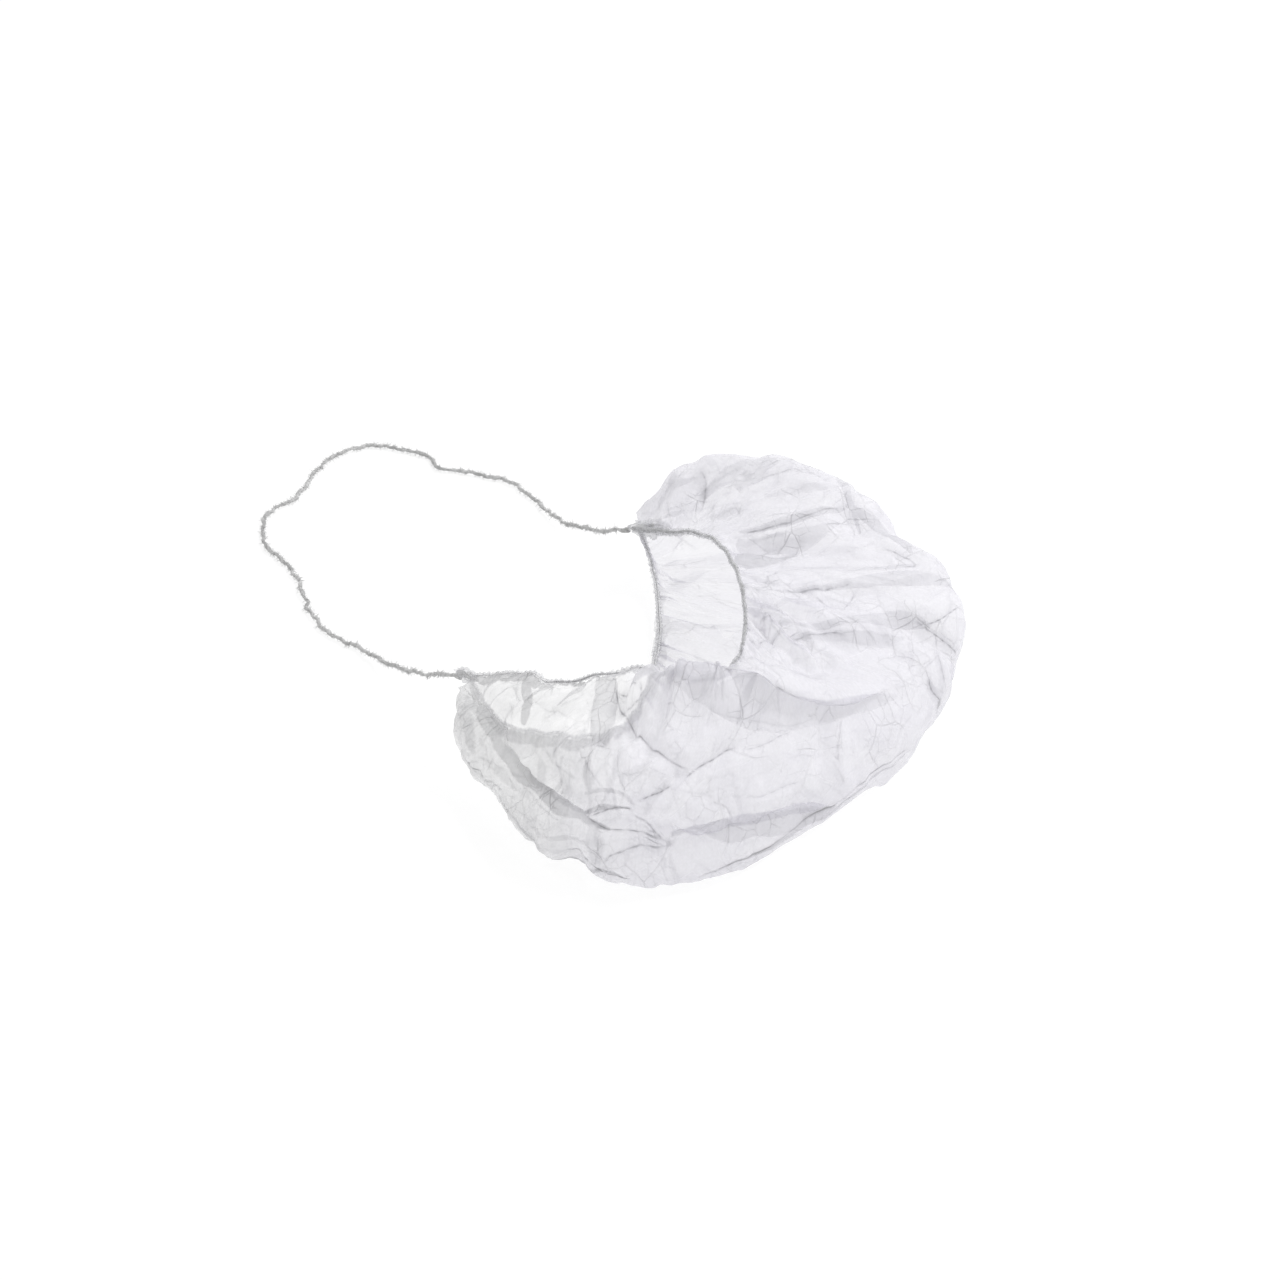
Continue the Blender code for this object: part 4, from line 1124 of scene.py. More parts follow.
@dataclass
class FabricPouch:
    """The thin gathered bag of nonwoven, open between its two rims."""

    plan: CoverPlan
    columns: int = 442
    rows: int = 224
    first: float = 0.10
    last: float = 15.90
    seam_reach: float = 0.30
    hem_depth: float = 0.0007
    level_steps: int = 500
    closeness: tuple = ((0.0, 1.7), (0.05, 1.3), (0.5, 1.15), (0.62, 0.6), (0.9, 0.7), (1.0, 1.5))
    normal_passes: int = 40
    rim_hold: float = 0.004
    fold_points: int = 30
    fold_ends: tuple = (0.08, 0.92)
    double_steepness: float = 0.36
    double_breadth: float = 1.7
    double_fullness: float = 2.2
    strip_far: float = 0.03
    strip_least: float = 0.0002
    strip_level_reach: float = 0.2
    scrap_widths: tuple = (0.0006, 0.0026)
    scrap_tip: float = 0.0004
    scrap_bend: float = 0.05
    scrap_run: float = 6
    scrap_numbers: tuple = (0.3, 15.7)
    scrap_levels: tuple = (0.005, 0.995)
    crease_far: float = 0.01
    crease_points: int = 70
    crease_reach: float = 0.008
    crease_fullness: float = 2.5
    crease_width: float = 0.0016
    mark_width: float = 0.0028
    pleat_count: int = 13
    pleat_depth: float = 0.0022
    mouth_pleat_length: float = 0.062
    throat_pleat_length: float = 0.024
    drifts: tuple = ((0.06, 3), (0.04, 5))
    throat_shift: float = 0.37
    fan_spread: float = 3.0
    fan_count: int = 4
    hem_shades: tuple = ((0.12, 0.0014), (0.06, 0.005))
    gather_count: int = 41
    gather_depth: float = 0.0010
    gather_length: float = 0.022
    ruffle_count: int = 96
    ruffle_depth: float = 0.0007
    ruffle_length: float = 0.008
    pinch: float = 0.30
    pinch_width: float = 0.0032
    crumple_count: int = 260
    crumple_depth: float = 0.0009
    crumple_numbers: tuple = (0.6, 15.4)
    crumple_levels: tuple = (0.04, 0.97)
    crumple_halves: tuple = (0.02, 0.085)
    crumple_widths: tuple = (0.0012, 0.0034)
    crumple_reach: float = 0.006
    straight_share: float = 0.55
    straight_slope: float = 0.35
    slanting_slope: float = 2.2
    facets: tuple = ((0.019, 0.036, 0.0012, False), (0.0090, 0.017, 0.0007, True), (0.0044, 0.0066, 0.0003, True))
    facet_stir: float = 0.35
    facet_tilt: float = 1.7
    facet_flatness: int = 9
    facet_patches: float = 38.0
    swells: tuple = ((42.0, 0.0010), (120.0, 0.00045), (330.0, 0.00022))
    seed: int = 4

    def prepare(self) -> None:
        """Work out the smooth surface, its normals and each point's lengths from both rims."""
        self.numbers = np.linspace(self.first, self.last, self.columns)
        shares = np.linspace(0, 1, self.level_steps)
        closeness = np.interp(shares, *zip(*self.closeness))
        passed = np.concatenate([[0.0], np.cumsum((closeness[1:] + closeness[:-1]) / 2)])
        self.levels = np.interp(np.linspace(0, passed[-1], self.rows), passed, shares)
        grid, from_mouth, whole = [], [], []
        for number in self.numbers:
            line = self.plan.section(number)
            length = lengths_along(line)[-1]
            depth = min(self.hem_depth, length / 8)
            places = depth + (length - 2 * depth) * self.levels
            grid.append(read_at(line, places))
            from_mouth.append(places)
            whole.append(length)
        self.grid = np.array(grid)
        self.from_mouth = np.array(from_mouth)
        self.from_throat = np.array(whole)[:, None] - self.from_mouth
        self.normals = unit(np.cross(np.gradient(self.grid, axis=1), np.gradient(self.grid, axis=0)))
        for _ in range(self.normal_passes):
            self.normals[1:-1] = (self.normals[:-2] + 2 * self.normals[1:-1] + self.normals[2:]) / 4
        self.normals = unit(self.normals)
        self.offset = np.zeros(self.grid.shape[:2])
        self.slide = np.zeros(self.grid.shape)
        self.density = np.zeros(self.grid.shape[:2])
        self.crease_side = np.full(self.grid.shape[:2], self.crease_far)
        self.crease_strength = np.zeros(self.grid.shape[:2])
        self.strips = {}

    def place_at(self, number: float, level: float) -> np.ndarray:
        """Read the smooth surface.

        Args:
            number: a section number.
            level: a level from 0 at the mouth rim to 1 at the throat rim.

        Returns:
            The point.
        """
        across = float(np.interp(number, self.numbers, np.arange(self.columns)))
        low = min(int(across), self.columns - 2)
        row = self.grid[low] + (self.grid[low + 1] - self.grid[low]) * (across - low)
        return np.array([np.interp(level, self.levels, row[:, axis]) for axis in range(3)])

    def line_through(self, points: tuple, count: int = 48) -> np.ndarray:
        """Lay a smooth line of count points on the surface, through corners of a section number and a level."""
        corners = smooth_read(np.array(points, float), np.linspace(0, len(points) - 1, count))
        return np.array([self.place_at(number, level) for number, level in corners])

    def distance_to(self, line: np.ndarray, reach: float) -> tuple[np.ndarray, np.ndarray, np.ndarray]:
        """Measure each grid point's distance from a line, on the side that it lies.

        Args:
            line: the line's points.
            reach: how far off the line still counts.

        Returns:
            The signed distance, the share of the way along the line and the direction across it.
        """
        inside = ((self.grid > line.min(axis=0) - reach) & (self.grid < line.max(axis=0) + reach)).all(axis=2)
        spots, upright = self.grid[inside], self.normals[inside]
        gaps = np.linalg.norm(spots[:, None] - line[None], axis=2)
        nearest = gaps.argmin(axis=1)
        heading = unit(np.gradient(line, axis=0))[nearest]
        offset = spots - line[nearest]
        across = unit(np.cross(upright, heading))
        side = np.einsum("ij,ij->i", offset, across)
        beyond = np.einsum("ij,ij->i", offset, heading) * np.isin(nearest, (0, len(line) - 1))
        apart = np.abs(np.einsum("ij,ij->i", offset, upright))
        signed = np.where(side < 0, -1.0, 1.0) * np.hypot(side, beyond)
        signed[(apart > reach / 2) | (np.abs(signed) > reach)] = np.inf
        away, share, directions = np.full(inside.shape, np.inf), np.zeros(inside.shape), np.zeros(self.grid.shape)
        away[inside] = signed
        step = np.einsum("ij,ij->i", offset, heading) / max(lengths_along(line)[-1], 1e-9)
        share[inside] = np.clip(nearest / (len(line) - 1) + step, 0, 1)
        directions[inside] = across
        return away, share, directions

    def fold(self) -> None:
        """Sink or raise the broad folds."""
        held = np.minimum(self.from_mouth / self.rim_hold, 1) ** 2
        steps = np.linspace(0, 1, self.fold_points)[:, None]
        for row in FOLD_ROWS:
            start, middle, end = (np.array(point) for point in row.points)
            through = 2 * middle - (start + end) / 2
            path = (1 - steps) ** 2 * start + 2 * steps * (1 - steps) * through + steps**2 * end
            line = np.array([self.place_at(number, level) for number, level in path])
            away, share, _ = self.distance_to(line, 4 * row.width)
            strength = np.sin(np.pi * np.clip(share, *self.fold_ends)) ** 0.5
            away = np.where(np.isfinite(away), away, 1.0)
            self.offset -= row.depth * strength * held * bell(away, row.width)

    def pleat(self) -> None:
        """Double the fabric back over itself along the pleats."""
        for row in PLEAT_ROWS:
            line = self.line_through(row.points)
            reach = 4 * row.overlap
            away, share, across = self.distance_to(line, reach)
            steep = self.double_steepness * row.overlap
            away = np.where(np.isfinite(away), away, reach)
            fade = bell(away, self.double_breadth * row.overlap) * faded_ends(share, self.double_fullness)
            back = -row.overlap * np.tanh(away / steep) * fade
            lift = row.height * np.tanh(away / steep) * fade
            self.slide += across * back[..., None]
            self.offset += lift

    def overlay(self, name: str, rows: tuple, reach: float, count: int) -> None:
        """Note each point's distance from the edge of the nearest strip, and that strip's density.

        Args:
            name: the name that both attributes start with.
            rows: the strips.
            reach: how far off a strip's middle line still counts.
            count: how many points a middle line gets.
        """
        side, density = np.full(self.grid.shape[:2], self.strip_far), np.zeros(self.grid.shape[:2])
        for row in rows:
            read = smooth_read(np.array(row.points, float), np.linspace(0, len(row.points) - 1, count))
            line = np.array([self.place_at(number, level) for number, level in read[:, :2]])
            away, share, _ = self.distance_to(line, reach)
            half = np.interp(share, np.linspace(0, 1, len(read)), read[:, 2].clip(self.strip_least)) / 2
            past = np.where(np.isfinite(away), np.abs(away), self.strip_far) - half
            own = np.interp(share, np.linspace(0, 1, len(read)), read[:, 1])
            closer = (past < side) & (np.abs(self.levels[None, :] - own) < self.strip_level_reach)
            side[closer] = past[closer]
            density[closer] = row.density
        self.strips[name + "_side"] = side
        self.strips[name] = density

    def scraps(self) -> list:
        """Choose many short strips where the fabric happens to lie doubled.

        Returns:
            The strips.
        """
        chance = np.random.RandomState(self.seed + 1)
        rows = []
        for zone in SCRAP_ZONES:
            for _ in range(zone.count):
                number, level = chance.uniform(*zone.numbers), chance.uniform(*zone.levels)
                half = chance.uniform(*zone.halves)
                run = chance.normal(0, 1) * zone.slope * half * self.scrap_run
                width, bend = chance.uniform(*self.scrap_widths) * zone.breadth, chance.normal(0, self.scrap_bend)
                points = np.array([
                    (number - run, level - half, self.scrap_tip),
                    (number + bend, level, width),
                    (number + run, level + half, self.scrap_tip),
                ])
                points[:, 0] = points[:, 0].clip(*self.scrap_numbers)
                points[:, 1] = points[:, 1].clip(*self.scrap_levels)
                rows.append(BandRow(zone.name, tuple(points.tolist()), chance.uniform(*zone.densities)))
        return rows

    def crease(self) -> None:
        """Press the sharp creases into the fabric."""
        for row in CREASE_ROWS:
            line = self.line_through(row.points, self.crease_points)
            away, share, _ = self.distance_to(line, self.crease_reach)
            strength = faded_ends(share, self.crease_fullness)
            wobble = 0.75 + 0.25 * np.sin(share * 37 + row.points[0][0] * 5)
            self.mark(away, row.density * strength * wobble)
            away = np.where(np.isfinite(away), np.abs(away), 1.0)
            self.offset += row.height * strength * np.exp(-away / self.crease_width)

    def mark(self, away: np.ndarray, strength: np.ndarray) -> None:
        """Note a crease's signed distance and strength wherever it is the nearest one.

        Args:
            away: the signed distance from the crease at each grid point, infinite far off.
            strength: how strongly it shows at each grid point.
        """
        closer = np.abs(away) < np.abs(self.crease_side)
        self.crease_side[closer] = away[closer]
        self.crease_strength[closer] = (strength * bell(away, self.mark_width))[closer]

    def facet(self) -> None:
        """Press tilted facets of three sizes into the fabric, flat with sharp edges as crumpled nonwoven has."""
        flat = self.flat_places().reshape(-1, 2)
        for number, (wide, tall, depth, patchy) in enumerate(self.facets):
            layer = np.full(len(flat), number)
            stir = self.facet_stir * wide * grain(np.column_stack([flat, layer]), 0.7 / wide, 6 + number)
            spots = np.column_stack([(flat[:, 0] + stir) / wide, (flat[:, 1] + stir) / tall, 3.7 * layer])
            rise = np.empty(len(flat))
            for spot, point in enumerate(spots.tolist()):
                gaps, centres = noise.voronoi(point)
                across, along = point[0] - centres[0][0], point[1] - centres[0][1]
                turn = centres[0][0] * 91.7 + centres[0][1] * 47.3
                inside = 1 - 2.718 ** (-self.facet_flatness * (gaps[1] - gaps[0]))
                rise[spot] = self.facet_tilt * (across * sin(turn) + along * cos(turn)) * inside
            if patchy:
                patches = grain(np.column_stack([flat, np.zeros(len(flat))]), self.facet_patches, 8 + number)
                rise *= np.clip(0.5 + 1.6 * patches, 0.1, 1.4)
            self.offset += depth * rise.reshape(self.offset.shape)

    def gather(self) -> None:
        """Draw the fabric up into pleats, gathers and ruffles beside both rims, and darken it there with denser pinches
        and painted shade.
        """
        turn = (self.numbers / (SECTIONS - 1))[:, None]
        ends = np.sin(np.pi * turn) ** 0.6
        drift = sum(depth * np.sin(2 * np.pi * count * turn) for depth, count in self.drifts)
        flat = np.stack([turn[:, 0] * FLAT_LENGTH, np.zeros(self.columns), np.zeros(self.columns)], axis=1)
        uneven = grain(flat, 55.0, 1)[:, None]
        rough = grain(flat, 130.0, 2)[:, None]
        for rim, away, length in (
            (Rim.MOUTH, self.from_mouth, self.mouth_pleat_length),
            (Rim.THROAT, self.from_throat, self.throat_pleat_length),
        ):
            shift = 0.0 if rim is Rim.MOUTH else self.throat_shift
            pleats = self.pleat_depth * np.sin(2 * np.pi * self.pleat_count * (turn + drift))
            fan = away * self.fan_spread * np.sin(2 * np.pi * self.fan_count * turn + shift)
            wave = 2 * np.pi * (self.gather_count * (turn + drift / 2) + 1.4 * uneven + fan + shift)
            gathers = self.gather_depth * (0.7 + 0.6 * rough) * (np.sin(wave) + 0.35 * np.sin(2 * wave + 1))
            wave = 2 * np.pi * (self.ruffle_count * turn + 2.2 * uneven + 1.1 * rough + 2 * fan + shift)
            ruffles = self.ruffle_depth * (0.8 + 0.8 * uneven) * np.sin(wave)
            pinched = np.clip(np.sin(wave), 0, 1) * np.clip(0.9 + 2.0 * uneven, 0, 1.4) * ends
            # Pinched gathers make the fabric denser; through the density they also darken its colour as painted shade.
            self.density += self.pinch * pinched * bell(away, self.pinch_width)
            near = np.minimum(away / self.rim_hold, 1)
            self.offset += ends * pleats * near * faded_out(away, length)
            fade = faded_out(away, self.gather_length * (1 + 0.5 * rough))
            self.offset += ends * gathers * fade * (0.4 + 0.6 * near)
            self.offset += ends * ruffles * faded_out(away, self.ruffle_length)
            # Painted shade: a darker margin along each rim, partly denser gathered fabric.
            self.density += sum(shade * bell(away, width) for shade, width in self.hem_shades)

    def crumple(self) -> None:
        """Press many short straight creases into the fabric, most of them running from rim to edge."""
        chance = np.random.RandomState(self.seed)
        for _ in range(self.crumple_count):
            number, level = chance.uniform(*self.crumple_numbers), chance.uniform(*self.crumple_levels)
            if chance.uniform() < self.straight_share:
                slope = chance.normal(0, self.straight_slope)
            else:
                slope = chance.normal(0, self.slanting_slope)
            half = chance.uniform(*self.crumple_halves)
            ends = [(number - slope * half * 4, level - half), (number + slope * half * 4, level + half)]
            start, end = (self.place_at(*np.clip(point, (0.2, 0.01), (15.8, 0.99))) for point in ends)
            width, depth = chance.uniform(*self.crumple_widths), chance.choice((-1, 1)) * chance.uniform(0.25, 1.0)
            line = start + (end - start) * np.linspace(0, 1, 9)[:, None]
            away, share, _ = self.distance_to(line, self.crumple_reach)
            strength = np.sin(np.pi * np.clip(share, 0.02, 0.98)) ** 0.7
            # Deep valleys are also marked as creases, which darkens their colour as painted shade.
            if depth < -0.35:
                self.mark(away, chance.uniform(0.10, 0.45) * strength)
            away = np.where(np.isfinite(away), np.abs(away), 1.0)
            self.offset += self.crumple_depth * depth * strength * np.exp(-away / width)

    def undulate(self) -> None:
        """Add soft uneven swells."""
        flat = self.flat_places()
        rows = np.concatenate([flat.reshape(-1, 2), np.zeros((flat.shape[0] * flat.shape[1], 1))], axis=1)
        swell = sum(depth * grain(rows, scale, 3 + number) for number, (scale, depth) in enumerate(self.swells))
        self.offset += swell.reshape(self.offset.shape)

    def flat_places(self) -> np.ndarray:
        """Give each grid point's place on the flat cut, in metres, as columns by rows by two."""
        along = self.numbers[:, None] / (SECTIONS - 1) * FLAT_LENGTH
        return np.stack(np.broadcast_arrays(along, self.from_mouth), axis=-1)

    def build(self) -> bpy.types.Object:
        """Make the fabric.

        Returns:
            The new object.
        """
        self.prepare()
        self.fold()
        self.pleat()
        self.overlay("band", BAND_ROWS, reach=0.030, count=60)
        self.overlay("patch", PATCH_ROWS, reach=0.030, count=60)
        self.overlay("scrap", self.scraps(), reach=0.004, count=24)
        self.crease()
        self.gather()
        self.crumple()
        self.facet()
        self.undulate()
        points = self.grid + self.slide + self.normals * self.offset[..., None]
        from_end = np.minimum(self.numbers - self.first, self.last - self.numbers)
        drawn = np.clip(1 - from_end / self.seam_reach, 0, 1)[:, None, None] ** 2
        points += drawn * (points[:, ::-1] - points) / 2
        points[..., 2] = np.maximum(points[..., 2], self.plan.floor_gap + 0.12 * np.minimum(self.offset, 0.002).clip(0))
        values = {
            "density": np.clip(self.density, 0, 1),
            "crease_side": self.crease_side,
            "crease": np.clip(self.crease_strength, 0, 1),
            **self.strips,
        }
        lattice = Lattice("pouch_fabric", points, self.numbers, flat=self.flat_places(), values=values)
        self.piece = lattice.build()
        return self.piece

    def dress(self, finish: bpy.types.Material) -> None:
        """Give the fabric its material and say what it is.

        Args:
            finish: the fabric's material.
        """
        self.piece.data.materials.append(finish)
        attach(self.piece, "root")
        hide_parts("pouch")


@dataclass
class GatheredHem:
    """A rim of the opening: elastic inside a tightly gathered fold of fabric, with a frilled edge."""

    plan: CoverPlan
    rim: Rim
    node: str
    core_radius: float
    fullness: tuple
    taut: tuple
    step: float = 0.00032
    rim_points: int = 900
    look_in: float = 0.003
    uneven_scale: float = 170.0
    rough_scale: float = 520.0
    core_sway: float = 0.0003
    sleeve_radius: float = 0.00080
    sleeve_sides: int = 12
    ripple_depth: float = 0.00026
    ripple_length: float = 0.0017
    frill_width: float = 0.0014
    frill_depth: float = 0.0008
    frill_length: float = 0.0031
    frill_fade: float = 0.006
    frill_columns: int = 7
    stitch_length: float = 0.0024
    stitch_gap: float = 0.00008
    stitch_radius: float = 0.00011
    trim: float = 0.0015
    seed: int = 11

    def prepare(self) -> None:
        """Work out the rim's line and the direction that points away from the fabric."""
        numbers = np.linspace(0, SECTIONS - 1, self.rim_points)
        line = self.plan.rim_line(self.rim, numbers)
        inner = []
        for number in numbers[::10]:
            section = self.plan.section(float(np.clip(number, 0.1, 15.9)))
            section = section if self.rim is Rim.MOUTH else section[::-1]
            inner.append(read_at(section, np.array([self.look_in]))[0] - section[0])
        inward = np.stack([np.interp(numbers, numbers[::10], np.array(inner)[:, axis]) for axis in range(3)], axis=1)
        whole = lengths_along(line)
        count = int((whole[-1] - 2 * self.trim) / self.step)
        places = np.linspace(self.trim, whole[-1] - self.trim, count)
        self.line = read_at(line, places)
        towards = np.stack([np.interp(places, whole, inward[:, axis]) for axis in range(3)], axis=1)
        ahead = unit(np.gradient(self.line, axis=0))
        towards = unit(towards - ahead * np.einsum("ij,ij->i", towards, ahead)[:, None])
        self.away = -towards
        self.beside = np.cross(ahead, self.away)
        self.places = places
        flat = np.stack([places, np.full(count, self.seed * 0.013), np.zeros(count)], axis=1)
        self.uneven = grain(flat, self.uneven_scale, self.seed)
        self.rough = grain(flat, self.rough_scale, self.seed + 1)
        at = np.interp(places, whole, numbers)
        stops, shares = np.array(self.fullness), np.array(self.taut)
        self.full = np.interp(at, stops[:, 0], stops[:, 1])
        self.bare = np.interp(at, shares[:, 0], shares[:, 1])

    def sleeve_reach(self) -> np.ndarray:
        """Give the fold's radius along the rim, before its ripples."""
        return self.sleeve_radius * (0.75 + 0.5 * self.full)

    def build_core(self) -> bpy.types.Object:
        """Make the elastic thread inside the fold.

        Returns:
            The new object.
        """
        radius = self.core_radius * self.bare * (1 + 0.25 * self.rough + 0.2 * self.uneven)
        sway = self.core_sway * self.uneven
        path = self.line + self.beside * sway[:, None]
        self.core = Tube(self.rim.value + "_elastic", path, radius[:, None], 8).build()
        return self.core

    def build_sleeve(self) -> bpy.types.Object:
        """Make the gathered fold of fabric round the elastic.

        Returns:
            The new object.
        """
        wave = 2 * np.pi * self.places / self.ripple_length + 3.0 * self.uneven
        ripple = self.ripple_depth * (np.sin(wave) + 0.5 * self.rough) * (0.6 + 0.6 * self.full)
        angle = np.linspace(0, 2 * np.pi, self.sleeve_sides + 1)
        skew = 1 + 0.12 * np.sin(2 * angle[None, :] + self.uneven[:, None] * 6)
        radius = (self.sleeve_reach() + ripple)[:, None] * skew
        radius[:, -1] = radius[:, 0]
        self.sleeve = Tube(self.rim.value + "_hem", self.line, radius, self.sleeve_sides).build()
        return self.sleeve

    def build_frill(self) -> bpy.types.Object:
        """Make the frilled free edge of the fold.

        Returns:
            The new object.
        """
        across = np.linspace(0, 1, self.frill_columns)[None, :]
        wave = (2 * np.pi * self.places / self.frill_length + 4.0 * self.uneven)[:, None]
        spread = np.clip(0.75 + 1.1 * self.uneven + 0.3 * self.rough, 0.25, 1.6)
        width = self.frill_width * (self.full * spread)[:, None]
        fade = np.clip(np.minimum(self.places, self.places[-1] - self.places) / self.frill_fade, 0, 1)[:, None]
        out = self.sleeve_radius * 0.6 + across * width * fade
        sway = self.frill_depth * across * (np.sin(wave) + 0.5 * np.sin(2.3 * wave)) * fade
        points = self.line[:, None] + self.away[:, None] * out[..., None] + self.beside[:, None] * sway[..., None]
        points[..., 2] = np.maximum(points[..., 2], self.plan.floor_gap)
        flat = np.linspace(0, 0.003, self.frill_columns)
        self.frill = Lattice(self.rim.value + "_frill", points, self.places, across=flat).build()
        return self.frill

    def build_stitches(self) -> bpy.types.Object:
        """Make the thread that is wound round the fold.

        Returns:
            The new object.
        """
        turns = 2 * np.pi * (self.places / self.stitch_length) + 2.0 * self.uneven
        reach = (self.sleeve_reach() + self.stitch_gap)[:, None]
        ring = np.cos(turns)[:, None] * self.away + np.sin(turns)[:, None] * self.beside
        path = self.line + ring * reach
        radius = np.full((len(path), 1), self.stitch_radius)
        self.stitches = Tube(self.rim.value + "_stitches", path, radius, 6).build()
        return self.stitches

    def build(self) -> None:
        """Make the hem's pieces."""
        self.prepare()
        self.build_core()
        self.build_sleeve()
        self.build_frill()
        self.build_stitches()

    def dress(self, core: bpy.types.Material, hem: bpy.types.Material, frill: bpy.types.Material) -> None:
        """Give the hem's pieces their materials and say what they are.

        Args:
            core: the elastic thread's material.
            hem: the fold's material.
            frill: the material of the free edge and the stitches.
        """
        for piece, finish in ((self.core, core), (self.sleeve, hem), (self.frill, frill), (self.stitches, frill)):
            piece.data.materials.append(finish)
            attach(piece, "root")
        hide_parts(self.node)


@dataclass
class BunchedJoin:
    """The bunch of fabric and elastic ends where both rims and the head loop meet."""

    plan: CoverPlan
    side: Side
    node: str
    length: float
    thickness: float
    shift: tuple
    turn: float
    halo_thickness: float
    halo_length: float = 1.05
    swirl_pitch: float = 900
    lump_scale: float = 620

    def spindle(self, name: str, length: float, thickness: float, swirls: int, depth: float) -> bpy.types.Object:
        """Make a lumpy spindle round the join.

        Args:
            name: what the new object is called, after the side.
            length: the spindle's length.
            thickness: its thickness.
            swirls: how many ridges wind round it.
            depth: how deep they and the lumps are.

        Returns:
            The new object.
        """
        centre = Vector((self.side.value * self.plan.join_span / 2, self.plan.join_setback, self.plan.join_height))
        mesh = bmesh.new()
        bmesh.ops.create_uvsphere(mesh, u_segments=48, v_segments=36, radius=0.5)
        turn = Vector((0, 0, 1)).rotation_difference(Vector((0, 1, 0))).to_matrix()
        bmesh.ops.rotate(mesh, verts=mesh.verts, matrix=turn)
        bmesh.ops.scale(mesh, verts=mesh.verts, vec=(thickness, length, thickness))
        for vert in mesh.verts:
            swirl = np.sin(swirls * np.arctan2(vert.co.z, vert.co.x) + vert.co.y * self.swirl_pitch)
            lump = noise.noise(vert.co * self.lump_scale + Vector((self.side.value * 3.0, swirls, 0)))
            vert.co += vert.co.normalized() * depth * (0.3 * swirl + lump)
        bmesh.ops.rotate(mesh, verts=mesh.verts, matrix=Matrix.Rotation(self.turn, 3, "Z"))
        bmesh.ops.translate(mesh, verts=mesh.verts, vec=centre + Vector(self.shift))
        made = add_object(self.side.name.lower() + name, mesh)
        made.data.shade_smooth()
        return made

    def build(self) -> bpy.types.Object:
        """Make the bunch of elastic ends."""
        self.piece = self.spindle("_bunch", self.length, self.thickness, swirls=5, depth=0.0011)
        return self.piece

    def build_halo(self) -> bpy.types.Object:
        """Make the ruffled fabric that is caught round the bunch."""
        length = self.length * self.halo_length
        self.halo = self.spindle("_ruffles", length, self.halo_thickness, swirls=7, depth=0.0019)
        return self.halo

    def dress(self, bunch: bpy.types.Material, ruffles: bpy.types.Material) -> None:
        """Give the join its materials and say what it is.

        Args:
            bunch: the elastic ends' material.
            ruffles: the material of the fabric round them.
        """
        for piece, finish in ((self.piece, bunch), (self.halo, ruffles)):
            piece.data.materials.append(finish)
            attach(piece, "root")
        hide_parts(self.node)


